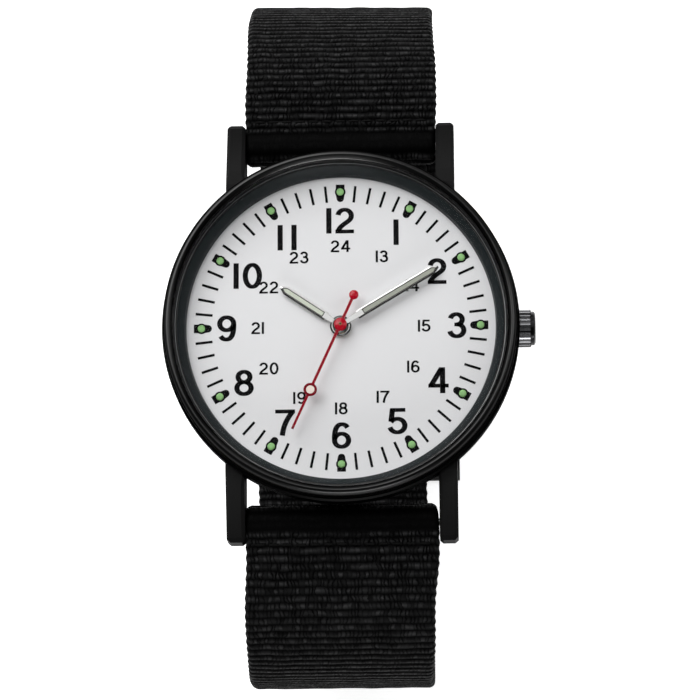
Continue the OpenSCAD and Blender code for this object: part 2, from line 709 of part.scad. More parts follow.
module main_plate() color([0.25, 0.27, 0.3]) difference() {
    union() {
        disc(plate_r, plate_t, plate_z, $fn = 128);
        ring(plate_r - 1.2, plate_r, motion_h, plate_top, $fn = 128);
        for (p = pillars) at(p, bridge_top) disc(pillar_r, plate_z - bridge_top + 0.1);
        for (x = coil_ends) at([x, coil_y], stator_z + stator_t) disc(0.8, 0.4);
        at(clamp_post_at, battery_z) disc(0.6, plate_z - battery_z + 0.1);
        at(minute_at, plate_top - 0.1) disc(stud_r, motion_h + 0.05);
        at(setting_at, plate_top - 0.1) disc(stud_r, 0.6);
        // Blocks that guide the stem's pilot and its shank
        translate([guide_x, -0.9, stem_z - 0.8]) cube([window_x - guide_x, 1.8, 1]);
        translate([outer_guide_x, -0.9, stem_z - 0.8]) cube([plate_r - 0.3 - outer_guide_x, 1.8, 1]);
    }
    // Battery pocket, a little deeper than the battery
    at(battery_at, battery_z) disc(battery_d / 2 + 0.1, battery_t + run_gap);
    // Window over the clutch wheel, and a narrower one over the lever's pin
    translate([window_x, -1.25, 0]) cube([lever_window_x - window_x, 2.5, deep]);
    translate([lever_window_x - 0.1, -0.6, 0]) cube([outer_guide_x - lever_window_x + 0.1, 1.6, deep]);
    translate([0, 0, stem_z]) {
        along_x(pilot_x - 0.3, stem_d * 0.4 + run_gap, 4);
        along_x(lever_window_x, stem_d / 2 + run_gap, 6);
    }
    // Pivot holes, and feet of the dial
    translate([0, 0, -cut]) disc(cannon_r + run_gap, deep);
    for (p = [third_at, fifth_at, rotor_at]) arbor_hole(p);
    for (a = [75, 255]) at(polar(plate_r - 0.7, a), plate_z - cut) disc(0.4, 4);
    for (p = concat(pillars, [clamp_post_at, lever_at, yoke_at], [for (x = coil_ends) [x, coil_y]]))
        at(p, 0) disc(screw_r, plate_z + 0.8, $fn = 24);
}

module train_bridge() color(brass) difference() {
    union() {
        translate([0, 0, bridge_z]) linear_extrude(bridge_t) polygon([
            pillars[0] + [0.5, -0.6], pillars[0] + [0.6, 0.5], pillars[2] + [0.6, 0.5],
            pillars[2] + [-0.7, 0.3], third_at + [-1.4, 1], third_at + [-1.4, -0.6],
            pillars[1] + [-0.7, 0], pillars[1] + [-0.2, -0.7], rotor_at + [-0.8, -0.9],
            rotor_at + [0.8, -0.9], rotor_at + [1.6, 0.4]
        ]);
        for (p = pillars) at(p, bridge_z) disc(pillar_r + 0.15, bridge_t);
    }
    for (p = [[0, 0], third_at, fifth_at, rotor_at]) arbor_hole(p);
    for (p = pillars) at(p, 0) disc(screw_r + press_gap, deep, $fn = 24);
}

// Screw whose head's upper side lies at z, with a shoulder if the part under it turns
module screw(p, z, shank_l, shoulder_l = 0) at(p, z) {
    disc(screw_head_r, screw_head_t, -screw_head_t);
    disc(screw_r - 0.01, shank_l, -0.05, $fn = 24);
    if (shoulder_l > 0) disc(0.3, shoulder_l + 0.05, -0.05);
}

module movement_screws() color(steel) {
    for (p = pillars) screw(p, bridge_z, 2);
    for (x = coil_ends) screw([x, coil_y], core_z, 1.8);
    screw(clamp_post_at, battery_z - clamp_t, 1.8);
    screw(lever_at, lever_z - run_gap, 1.5, plate_z - lever_z + run_gap);
    screw(yoke_at, yoke_z - run_gap, 1, plate_z - yoke_z + run_gap);
}

module battery() color(steel) at(battery_at, battery_z) {
    disc(battery_d / 2 - 0.4, 0.2);
    disc(battery_d / 2, battery_t - 0.2, 0.2);
}

module battery_clamp() color(brass) difference() {
    link(clamp_post_at, battery_at, 1.6, clamp_t, battery_z - clamp_t);
    at(clamp_post_at, 0) disc(screw_r + press_gap, deep, $fn = 24);
}

module circuit_board() color("darkgreen") translate([0, 0, board_z]) linear_extrude(board_t)
    polygon(plate_r * [[0.09, 0.34], [0.56, 0.31], [0.69, 0.41], [0.58, 0.64], [0.34, 0.77], [0.09, 0.77]]);
module control_chip() color([0.12, 0.12, 0.12]) translate([0.5 * plate_r, 0.445 * plate_r, board_z - 0.6])
    rotate_extrude($fn = 48) polygon([[0, 0.6], [1.1, 0.6], [0.9, 0.2], [0.5, 0], [0, 0]]);
module quartz_can() color(steel) translate([0.13 * plate_r, 0.655 * plate_r, board_z - can_d / 2]) along_x(0, can_d / 2, can_l);

module coil_core() color(steel) difference() {
    link([coil_ends[0], coil_y], [coil_ends[1], coil_y], 1.1, stator_t, core_z);
    for (x = coil_ends) at([x, coil_y], 0) disc(screw_r + press_gap, deep, $fn = 24);
}

module coil_winding() color([0.75, 0.35, 0.2])
    translate([(coil_ends[0] + coil_ends[1] - coil_l) / 2, coil_y, core_z + stator_t / 2]) difference() {
        union() {
            along_x(0, coil_d / 2 - 0.15, coil_l);
            for (x = [0, coil_l - 0.3]) along_x(x, coil_d / 2, 0.3);
        }
        translate([-cut, -0.55 - press_gap, -stator_t / 2 - press_gap])
            cube([coil_l + 2 * cut, 1.1 + 2 * press_gap, stator_t + 2 * press_gap]);
    }

module stator() color([0.6, 0.6, 0.62]) difference() {
    union() {
        at(rotor_at, stator_z) disc(1.9, stator_t);
        for (x = coil_ends) {
            link(rotor_at, [x, rotor_at[1]], stator_arm_w, stator_t, stator_z);
            link([x, rotor_at[1]], [x, coil_y], stator_arm_w, stator_t, stator_z);
        }
    }
    at(rotor_at, 0) disc(stator_hole_r, deep);
    for (x = coil_ends) at([x, coil_y], 0) disc(screw_r + press_gap, deep, $fn = 24);
}

// Wheels of the train, each with its pinion and its pivots

module arbor(low, high) {
    disc(arbor_r, high - low, low, $fn = 24);
    disc(pivot_r, high - low + 0.5, low - 0.25, $fn = 24);
}

module rotor() color([0.35, 0.35, 0.38]) at(rotor_at) {
    gear(rotor_n, rotor_m, rotor_turn, 0.22, fifth_z - 0.03);
    disc(arbor_r, 0.5, fifth_z, $fn = 24);
    disc(magnet_r, 0.85, plate_z - 0.95);
    disc(pivot_r, plate_z + 0.3 - bridge_top + 0.25, bridge_top - 0.25, $fn = 24);
}

module fifth_wheel() color(brass) at(fifth_at) {
    gear(fifth_n, rotor_m, fifth_turn, 0.12, fifth_z);
    gear(fifth_pinion_n, fifth_m, fifth_turn, fourth_z + wheel_t + 0.05 - fifth_z, fifth_z);
    arbor(fifth_z, plate_z - 0.03);
}

module fourth_wheel() color(brass) {
    gear(fourth_n, fifth_m, 0, wheel_t, fourth_z);
    gear(fourth_pinion_n, fourth_m, 0, third_z + wheel_t + 0.1 - fourth_z, fourth_z);
    disc(arbor_r, second_z + second_t - fourth_z, fourth_z, $fn = 32);
    disc(pivot_r, 0.6, bridge_top - 0.25, $fn = 24);
}

module third_wheel() color(brass) at(third_at) {
    gear(third_n, fourth_m, third_turn, wheel_t, third_z);
    gear(third_pinion_n, third_m, third_turn, centre_z + wheel_t + 0.1 - third_z, third_z);
    arbor(bridge_top + 0.05, plate_z - 0.03);
}

// The minute wheel of the train, with the cannon pinion and the tube that carries the minute hand
module centre_wheel() color(brass) difference() {
    union() {
        gear(centre_n, third_m, centre_turn, wheel_t, centre_z);
        disc(0.7, plate_z - 0.03 - centre_z, centre_z);
        disc(cannon_r, minute_z + hand_t - centre_z, centre_z);
        gear(cannon_n, motion_m, 0, 0.26, plate_top + 0.1);
    }
    disc(arbor_r + run_gap, deep);
}

module minute_wheel() color(brass) at(minute_at) difference() {
    union() {
        gear(minute_n, motion_m, minute_turn, 0.17, plate_top + 0.13);
        gear(minute_pinion_n, hour_m, minute_turn, 0.5, plate_top + 0.13);
    }
    disc(stud_r + run_gap, deep);
}

module hour_wheel() color(brass) difference() {
    union() {
        gear(hour_n, hour_m, hour_turn, 0.2, plate_top + 0.42);
        disc(hour_tube_r, hour_z + hand_t - plate_top - 0.42, plate_top + 0.42);
    }
    disc(cannon_r + run_gap, deep);
}

module setting_wheel() color(brass) at(setting_at) difference() {
    gear(setting_n, motion_m, setting_turn, 0.22, plate_top + 0.1);
    disc(stud_r + run_gap, deep);
}

// Strap

// Wedge that fills the fold's inner side where the returned end is pressed flat
module fold_wedge(centre, poses, s_step) {
    k = ceil(flap_l / s_step);
    polygon([
        [poses[0][0], poses[0][1]], [poses[k][0], poses[k][1]], side(poses[k], -strap_t / 2),
        centre + (fold_r - 0.1) * [sin(poses[0][2] + 12), -cos(poses[0][2] + 12)]
    ]);
}

// Round bar across the watch, for folds and their bores
module rod(centre, r, w) translate([0, centre[0], centre[1]]) rotate([0, 90, 0])
    cylinder(r = r, h = w, center = true);

module strap_upper() color(webbing) {
    poses = route(up_start, up_all);
    centre = [bar_y, bar_z];
    centre2 = [buckle_y, bar2_z];
    difference() {
        union() {
            across(strap_w) polygon(band(poses, strap_t));
            across(strap_w) fold_wedge(centre, poses, 1.8);
            rod(centre, fold_r, strap_w);
            rod(centre2, fold_r, strap_w);
            across(strap_w) polygon([
                centre2 + [0, -fold_r + strap_t / 2], centre2 + [buckle_flap_l, -fold_r + strap_t / 2],
                centre2 + [buckle_flap_l, -fold_r + strap_t], centre2 + [0.5, fold_r - 0.2]
            ]);
        }
        rod(centre, bar_d / 2 + run_gap, strap_w + 2 * cut);
        rod(centre2, bar_d / 2 + run_gap, strap_w + 2 * cut);
        // Slot for the tongue's eye
        translate([0, buckle_y - 1.2, bar2_z])
            cube([tongue_w + 2 * free_gap, 2 * fold_r + 2.4, 2 * fold_r + 0.1], center = true);
    }
}

// What is cut off the tail to leave a rounded end
tail_round = 6;
module tail_cut() {
    w = strap_w / 2 + 0.3;
    translate([0, 0, -deep / 2]) linear_extrude(deep) polygon(concat(
        [for (i = [-8 : 8]) [w * i / 8, tail_round * (sqrt(1 - pow(0.97 * i / 8, 2)) - 1)]],
        [[w, 2], [-w, 2]]
    ));
}

module strap_lower() color(webbing) mirror([0, 1, 0]) {
    poses = route(low_start, low_all);
    centre = [bar_y, bar_z];
    end = poses[len(poses) - 1];
    difference() {
        union() {
            across(strap_w) polygon(band(poses, strap_t));
            across(strap_w) fold_wedge(centre, poses, 1.8);
            rod(centre, fold_r, strap_w);
        }
        rod(centre, bar_d / 2 + run_gap, strap_w + 2 * cut);
        for (i = [-2 : 4]) let (p = pose_at(low_start, low_all, hole_s + i * hole_pitch))
            if (hole_s + i * hole_pitch < low_l - 5)
                translate([0, p[0], p[1]]) rotate([p[2], 0, 0]) cylinder(d = hole_d, h = deep / 2, center = true);
        translate([0, end[0], end[1]]) rotate([end[2], 0, 0]) tail_cut();
    }
}

// Spring bars

module spring_bar_tube() difference() {
    along_x(-bar_l / 2, bar_d / 2, bar_l);
    along_x(-bar_l / 2 + lip_t, tube_bore / 2, bar_l - 2 * lip_t);
    along_x(-bar_l, pin_d / 2 + run_gap, 2 * bar_l);
}
module spring_bar_tubes() color(steel) both_ends() translate([0, bar_y, bar_z]) spring_bar_tube();

// Pin of the right-hand end, with the collar that keeps it in the tube
module spring_pin() color(steel) {
    along_x(bar_l / 2 - lip_t - 0.5, pin_d / 2, pin_tip - bar_l / 2 + lip_t + 0.5);
    along_x(bar_l / 2 - lip_t - collar_l, tube_bore / 2 - run_gap, collar_l - 0.02);
}
module spring_pin_upper_right() translate([0, bar_y, bar_z]) spring_pin();
module spring_pin_upper_left() mirror([1, 0, 0]) spring_pin_upper_right();
module spring_pin_lower_right() translate([0, -bar_y, bar_z]) spring_pin();
module spring_pin_lower_left() mirror([1, 0, 0]) spring_pin_lower_right();

// Helix between the two collars, its wire six-sided
module bar_spring() {
    l = bar_l - 2 * (lip_t + collar_l) - spring_wire - 2 * run_gap;
    r = tube_bore / 2 - run_gap - spring_wire / 2 - 0.02;
    steps = 8;
    sides = 6;
    n = spring_turns * steps;
    points = [for (i = [0 : n]) for (k = [0 : sides - 1])
        let (a = i * 360 / steps, b = k * 360 / sides, rr = r + spring_wire / 2 * cos(b))
        [-l / 2 + l * i / n + spring_wire / 2 * sin(b), rr * cos(a), rr * sin(a)]];
    faces = concat(
        [for (i = [0 : n - 1]) for (k = [0 : sides - 1]) for (half = [0, 1])
            let (a = i * sides + k, b = i * sides + (k + 1) % sides)
            half == 0 ? [a, b, b + sides] : [a, b + sides, a + sides]],
        [for (k = [1 : sides - 2]) [0, k + 1, k]],
        [for (k = [1 : sides - 2]) [n * sides, n * sides + k, n * sides + k + 1]]
    );
    polyhedron(points, faces);
}
module spring_bar_springs() color(steel) both_ends() translate([0, bar_y, bar_z]) bar_spring();

// Buckle and keepers

frame_in = strap_w / 2 + 0.4;
frame_out = frame_in + buckle_wire;

module buckle_frame() color(black_coat) difference() {
    union() {
        both_sides() translate([(frame_in + frame_out) / 2, 0, 0]) across(buckle_wire) {
            translate([buckle_y, bar2_z]) circle(1.3);
            translate([rail_y, rail_z]) circle(rail_r);
            polygon([
                [buckle_y + 0.4, bar2_z + 1.2], [buckle_y - buckle_l * 0.45, bar2_z - 0.4],
                [rail_y - 0.45, rail_z + 0.6], [rail_y, rail_z - rail_r],
                [buckle_y - buckle_l * 0.4, rail_z - rail_r + 0.15], [buckle_y + 0.9, bar2_z - 0.9]
            ]);
        }
        translate([0, rail_y, rail_z]) along_x(-frame_out, rail_r, 2 * frame_out);
    }
    // Holes for the ends of the bar, and the notch for the tongue's tip
    both_sides() translate([0, buckle_y, bar2_z]) along_x(frame_in - cut, pin_d / 2 + 0.01, cut + 1.1);
    translate([0, rail_y, base_z]) cube([tongue_w + 0.3, 4, 2 * (tongue_t + 0.1)], center = true);
}

module buckle_bar() color(steel) translate([0, buckle_y, bar2_z]) {
    along_x(-frame_in + 0.1, bar_d / 2, 2 * frame_in - 0.2);
    along_x(-frame_in - 1, pin_d / 2, 2 * frame_in + 2);
}

module buckle_tongue() color(black_coat) difference() {
    union() {
        rod([buckle_y, bar2_z], bar_d / 2 + run_gap + 0.45, tongue_w);
        across(tongue_w) polygon(band(concat(
            [[buckle_y, bar2_z, tongue_dir]],
            route(move([buckle_y, bar2_z, tongue_dir], [1, 0], tongue_down),
                [[tongue_bend_r, tongue_bend]], 0.2),
            [pose_at([buckle_y, bar2_z, tongue_dir], tongue_runs, route_l(tongue_runs))]
        ), tongue_t));
    }
    rod([buckle_y, bar2_z], bar_d / 2 + run_gap, tongue_w + 2 * cut);
}

// Rectangle with round corners, centred
module rounded(w, h, r) {
    square([w - 2 * r, h], center = true);
    square([w, h - 2 * r], center = true);
    for (x = [-1, 1]) for (y = [-1, 1]) translate([x * (w / 2 - r), y * (h / 2 - r)]) circle(r, $fn = 48);
}

// Band round both layers of the strap, from y to y + keeper_w
module keeper(y, slack) {
    top = inner_z + strap_t / 2 + slack;
    low = base_z + keeper_t;
    w = strap_w + 2 * keeper_slack;
    translate([0, y, (top + low) / 2]) mirror([0, 1, 0]) rotate([90, 0, 0]) linear_extrude(keeper_w)
        difference() {
            rounded(w + 2 * keeper_t, top - low + 2 * keeper_t, keeper_slack + keeper_t);
            rounded(w, top - low, keeper_slack);
        }
}
module fixed_keeper() color(webbing) keeper(keeper_y, 0);
module sliding_keeper() color(webbing) keeper(keeper_y + keeper_w + 1, 0.15);

case_middle();
bezel();
crystal();
crystal_gasket();
rehaut_ring();
case_back();
case_back_gasket();
dial();
dial_lume_dots();
hour_hand();
hour_hand_lume();
minute_hand();
minute_hand_lume();
second_hand();
second_hand_lume();
crown();
crown_tube();
crown_gasket();
stem();
clutch_wheel();
setting_lever();
yoke();
movement_holder();
main_plate();
train_bridge();
movement_screws();
battery();
battery_clamp();
circuit_board();
control_chip();
quartz_can();
coil_core();
coil_winding();
stator();
rotor();
fifth_wheel();
fourth_wheel();
third_wheel();
centre_wheel();
minute_wheel();
hour_wheel();
setting_wheel();
strap_upper();
strap_lower();
spring_bar_tubes();
spring_pin_upper_left();
spring_pin_upper_right();
spring_pin_lower_left();
spring_pin_lower_right();
spring_bar_springs();
buckle_frame();
buckle_bar();
buckle_tongue();
fixed_keeper();
sliding_keeper();
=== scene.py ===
# %% [markdown]
# # A quartz wristwatch, dressed for a studio picture
#
# The solids of this watch come from its CAD source as one frame, with the right sizes and
# places. This lesson adds what makes them look real: woven webbing, coated steel, a printed
# dial, faceted hands and soft light. The frame is loaded first, because every piece is placed
# by it.

# %% Load the solids
import math

import bmesh
import bpy
import numpy as np
from mathutils import Matrix, Vector


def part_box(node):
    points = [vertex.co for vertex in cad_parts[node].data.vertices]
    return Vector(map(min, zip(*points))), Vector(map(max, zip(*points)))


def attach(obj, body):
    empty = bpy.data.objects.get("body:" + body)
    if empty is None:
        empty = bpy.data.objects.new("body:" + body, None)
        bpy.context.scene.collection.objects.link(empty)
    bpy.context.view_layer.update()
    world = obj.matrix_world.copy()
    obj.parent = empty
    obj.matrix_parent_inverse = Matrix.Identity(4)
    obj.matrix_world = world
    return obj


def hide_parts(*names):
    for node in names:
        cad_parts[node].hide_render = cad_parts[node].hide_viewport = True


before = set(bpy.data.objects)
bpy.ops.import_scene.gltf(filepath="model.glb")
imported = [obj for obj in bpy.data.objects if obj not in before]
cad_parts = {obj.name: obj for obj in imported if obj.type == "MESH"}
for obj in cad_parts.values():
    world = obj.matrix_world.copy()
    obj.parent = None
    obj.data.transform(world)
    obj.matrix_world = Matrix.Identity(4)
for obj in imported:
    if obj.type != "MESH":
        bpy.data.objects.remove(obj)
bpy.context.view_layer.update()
MM = 0.001

# %% [markdown]
# ## The camera
#
# The photograph was taken from the front, a hand's breadth towards 6 o'clock and a little to
# the right, through a long lens. A tracking constraint or angles could aim the camera, but here
# its axes are written out in the watch's frame: right, up and back. They are the columns of its
# matrix.

# %% Camera
lens = bpy.data.cameras.new("camera")
lens.lens, lens.sensor_width, lens.clip_start, lens.clip_end = 185.85, 36, 0.01, 10
camera = bpy.data.objects.new("camera", lens)
bpy.context.scene.collection.objects.link(camera)
right, up, back = ((0.99919, -0.00542, -0.03983), (0.01413, 0.97495, 0.22198),
                   (0.03763, -0.22236, 0.97424))
eye = Vector((15.23, -86.90, 375.15)) * MM
camera.matrix_world = Matrix.Translation(eye) @ Matrix((right, up, back)).transposed().to_4x4()
bpy.context.scene.camera = camera
print("camera", [round(v, 4) for v in camera.location])

# %% [markdown]
# ## Arithmetic on shader sockets
#
# A finish is a formula: ridge height from a distance, roughness from a noise. Wired by hand,
# one Math node per sign, the formula disappears. A small class that wraps an output and
# overloads the operators keeps it readable: `1 - ridge * 0.5` adds its two Math nodes by
# itself. All other nodes come from `Finish.node`.

# %% Sockets as numbers


class Wire:
    """One output of a shader node; operators on it add Math nodes to the same finish."""

    def __init__(self, finish, socket):
        self.finish = finish
        self.socket = socket

    def math(self, operation, *values):
        return self.finish.node("Math", {"operation": operation}, *values)

    def fold(self):
        """Distance from the middle of the step it is in: 0 there, 1 at both ends of the step."""
        return ((self - self.floor()) * 2 - 1).size()


for sign, operation in (("add", "ADD"), ("sub", "SUBTRACT"), ("mul", "MULTIPLY"),
                        ("truediv", "DIVIDE"), ("pow", "POWER")):
    # The second of each pair is for a number on the left, as in 1 - ridge
    setattr(Wire, f"__{sign}__", lambda a, b, word=operation: a.math(word, a, b))
    setattr(Wire, f"__r{sign}__", lambda a, b, word=operation: a.math(word, b, a))
for name, operation in (("sine", "SINE"), ("size", "ABSOLUTE"), ("floor", "FLOOR")):
    setattr(Wire, name, lambda a, word=operation: a.math(word, a))


class Finish:
    """A material or a world and its nodes."""

    def __init__(self, name, kind="materials"):
        self.data = getattr(bpy.data, kind).new(name)
        self.data.use_nodes = True
        self.tree = self.data.node_tree
        self.tree.nodes.clear()

    def node(self, kind, settings=None, *values, out=None, **named):
        """Adds the ShaderNode of this kind: settings first, then its sockets by order or by name,
        with _ for a space."""
        new = self.tree.nodes.new("ShaderNode" + kind)
        for key, value in (settings or {}).items():
            setattr(new, key, value)
        inputs = [s for s in new.inputs if s.enabled]
        by_name = {s.name.replace(" ", "_"): s for s in reversed(inputs)}
        for socket, value in [*zip(inputs, values), *((by_name[k], v) for k, v in named.items())]:
            if isinstance(value, Wire):
                self.tree.links.new(value.socket, socket)
            elif value is not None:
                socket.default_value = value
        outputs = [s for s in new.outputs if s.enabled]
        found = [s for s in outputs if s.name == out] + outputs
        return Wire(self, found[0]) if found else None

    def place(self):
        """Object coordinates as x, y and z, in metres."""
        point = self.node("TexCoord", None, out="Object")
        return point, *self.split(point)

    def split(self, point):
        return [self.node("SeparateXYZ", None, point, out=axis) for axis in "XYZ"]

    def stretched(self, point, *scale):
        """The point with x, y and z each multiplied by its own number."""
        return self.node("Mapping", {"vector_type": "POINT"}, point, Scale=scale)

    def ramp(self, value, start, end, first, last):
        """first where value is up to start, last from end on, and straight between the two."""
        return self.node("MapRange", None, value, start, end, first, last)

    def noise(self, point, scale, detail=2.0, roughness=0.5):
        return self.node("TexNoise", None, out="Fac", Vector=point, Scale=scale,
                         Detail=detail, Roughness=roughness)

    def tones(self, amount, dark, light):
        """Colour between dark and light."""
        return self.node("Mix", {"data_type": "RGBA"}, amount, (*dark, 1), (*light, 1),
                         out="Result")

    def bump(self, height, depth):
        """Normal from a height of 0 to 1 that stands for depth mm."""
        return self.node("Bump", None, Strength=1.0, Distance=depth * MM, Height=height)

    def close(self, **sockets):
        """The Principled surface, wired to the output."""
        skin = self.node("BsdfPrincipled", None, **sockets)
        self.node("OutputMaterial", None, Surface=skin)
        return self.data


print("socket arithmetic ready")

# %% [markdown]
# ## Metal finishes
#
# The case is steel under a thin black coating. The lugs are satin, a dark surface whose gloss
# drifts a little. The bezel and the flank are polished. A plain dark gloss would glare at the
# outline, where every gloss turns into a mirror, so these are a dark metal with a black edge
# tint. Bare steel and brass have marks of the tool that cut them: rings on turned parts, from
# the distance to the z axis, and straight lines on brushed ones.

# %% Coatings, steel and brass


def coated(name, gloss, grey=0.0, mirror=0.0, mirror_to=0.0, valley=0.0, grain=0.003, shine=0.12):
    """Dark coating: roughness drifts with a broad noise, bump from a fine one. With a grey it is
    satin, with painted light along y: 1.5 times as bright up to 17 mm, then darker outwards to
    0.8 times at 23 mm. With a mirror it is polished, a dark metal that reflects that share, with
    painted shade in a ring that ends valley mm from the z axis, other than at 12 o'clock. With
    both it is polished up to mirror_to mm from the axis."""
    f = Finish(name)
    point, x, y = f.place()[:3]
    broad, fine = f.noise(point, 160.0), f.noise(point, 9000.0, 3.0, 0.6)
    polish = {}
    if grey:
        # painted light: 1.5 times as bright up to 17 mm along y, 0.8 times from 23 mm on
        tone = (broad * 0.4 + 0.8) * f.ramp(y.size(), 0.017, 0.023, 1.5, 0.8) * grey
    if mirror:
        polish = {"Metallic": 1.0, "Specular_Tint": (0, 0, 0, 1)}
        reach = (x * x + y * y) ** 0.5
        bright = (broad * 0.3 + 0.85) * mirror
        if valley:
            # painted shade on the slope inside the crest, left out towards 12 o'clock
            painted_slope_shade = f.ramp(reach, (valley - 0.35) * MM, valley * MM, 0.85, 0.0)
            bright = bright * (1 - painted_slope_shade * f.ramp(y, 0.012, 0.015, 1.0, 0.0))
        if grey:
            satin = f.ramp(reach, mirror_to * MM, (mirror_to + 0.3) * MM, 0.0, 1.0)
            bright = satin * tone + (1 - satin) * bright
            polish["Metallic"] = 1 - satin
        tone = bright
    return f.close(Base_Color=tone, Roughness=broad * 0.1 + fine * 0.06 + (gloss - 0.08),
                   Specular_IOR_Level=shine, Normal=f.bump(fine, grain), **polish)


def turned(name, colour, pitch, gloss=0.28, depth=0.002):
    """Metal cut on a lathe: rings of even pitch (mm), a sine of the distance to the z axis."""
    f = Finish(name)
    point, x, y = f.place()[:3]
    reach = (x * x + y * y) ** 0.5
    rings = (reach * (2 * math.pi / (pitch * MM))).sine() * 0.5 + 0.5
    worn = f.noise(point, 700.0, 4.0)
    tone = f.tones(worn, [c * 0.82 for c in colour], colour)
    return f.close(Base_Color=tone, Metallic=1.0, Normal=f.bump(rings * 0.7 + worn * 0.3, depth),
                   Roughness=worn * 0.14 + rings * 0.05 + (gloss - 0.1))


def brushed(name, colour, along=0, gloss=0.3):
    """Metal brushed along one axis: a noise stretched fifty times that way."""
    f = Finish(name)
    point = f.place()[0]
    stretch = [1.0, 1.0, 1.0]
    stretch[along] = 0.02
    lines = f.noise(f.stretched(point, *stretch), 14000.0, 3.0, 0.6)
    tone = f.tones(lines, [c * 0.8 for c in colour], colour)
    return f.close(Base_Color=tone, Metallic=1.0, Roughness=lines * 0.16 + (gloss - 0.08),
                   Normal=f.bump(lines, 0.002))


def knurled(name, axis_z, cap_x, crest):
    """Coated steel with painted highlights on its ridges: light where the distance to the axis is
    over crest, as long as x is short of the cap."""
    f = Finish(name)
    point, x, y, z = f.place()
    drop = z - axis_z
    reach = (y * y + drop * drop) ** 0.5
    painted_ridge_highlight = f.ramp(reach, crest - 0.00008, crest + 0.00003, 0.0, 1.0)
    short_of_cap = f.ramp(x, cap_x, cap_x - 0.0001, 0.0, 1.0)
    # painted highlight: the ridges are light, the grooves and the cap stay dark
    tone = f.tones(painted_ridge_highlight * short_of_cap, (0.012, 0.012, 0.013), (0.30, 0.30, 0.31))
    fine = f.noise(point, 6000.0)
    return f.close(Base_Color=tone, Metallic=0.85, Roughness=fine * 0.1 + 0.18,
                   Normal=f.bump(fine, 0.001))


case_black = coated("case_black", 0.42, grey=0.0105, mirror=0.006, mirror_to=18.85, shine=0.015)
bezel_black = coated("bezel_black", 0.3, mirror=0.034, valley=17.95, grain=0.001)
low, high = (np.array(corner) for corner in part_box("crown"))
crown_black = knurled("crown_black", (low + high)[2] / 2, high[0] - 0.0005, 0.0019)
buckle_black = coated("buckle_black", 0.34, grey=0.005)
dim_edge_highlight = turned("worn_edge", (0.09, 0.09, 0.09), pitch=0.4, gloss=0.3)
bright_edge_highlight = turned("polished_edge", (0.33, 0.34, 0.34), pitch=0.4, gloss=0.3)
steel = brushed("drawn_steel", (0.62, 0.63, 0.65))
back_steel = turned("back_steel", (0.74, 0.75, 0.76), pitch=0.22, gloss=0.34, depth=0.004)
brass = turned("wheel_brass", (0.72, 0.54, 0.27), pitch=0.09)
iron = brushed("motor_iron", (0.42, 0.42, 0.43), along=1, gloss=0.42)
print("metal finishes:", len(bpy.data.materials))

# %% [markdown]
# ## Plastics, rubber, glass and paint
#
# Moulded parts are nearly even: a faint mottle and a soft bump keep them from looking flat.
# The glowing paint is chalky, with fine grains of pigment under a dull surface. The glass lets
# light through to the dial. A solid that refracts would make caustics there, so it is a mix of
# a clear surface and a thin reflection.

# %% Moulded, printed and painted finishes


def moulded(name, colour, gloss, mottle, shine=0.5, grain=0.003, scale=2500.0):
    """Plastic, rubber or paint: colour and gloss drift with one noise, bump from a finer one."""
    f = Finish(name)
    point = f.place()[0]
    cloud, fine = f.noise(point, scale), f.noise(point, scale * 6, 3.0)
    dark, light = ([min(c * share, 1) for c in colour] for share in (1 - mottle, 1 + mottle))
    return f.close(Base_Color=f.tones(cloud, dark, light), Roughness=cloud * 0.1 + (gloss - 0.05),
                   Specular_IOR_Level=shine, Normal=f.bump(fine, grain))


def clear_glass(name):
    """Clear surface, with a thin mirror over it that grows towards grazing angles."""
    f = Finish(name)
    point = f.place()[0]
    film = f.noise(point, 90.0)
    edge = f.node("Fresnel", None, IOR=1.3)
    clear = f.node("BsdfTransparent", None, Color=(0.995, 0.995, 0.995, 1))
    mirror = f.node("BsdfGlossy", None, Color=(1, 1, 1, 1), Roughness=film * 0.02 + 0.01)
    skin = f.node("MixShader", None, edge * 0.08, clear, mirror)
    f.node("OutputMaterial", None, Surface=skin)
    return f.data


def wound_copper(name, pitch):
    """Enamelled wire side by side: ridges |sin| of the place along x, one to each pitch (mm). The
    colour is painted light and shade: lighter on the crown of each turn, darker between turns.
    """
    f = Finish(name)
    turns = (f.place()[1] * (math.pi / (pitch * MM))).sine().size()
    # painted shade between the turns, painted highlight on their crowns
    tone = f.tones(turns, (0.20, 0.06, 0.02), (0.62, 0.26, 0.11))
    return f.close(Base_Color=tone, Metallic=0.7, Roughness=0.3 + turns * 0.05,
                   Normal=f.bump(turns, 0.03))


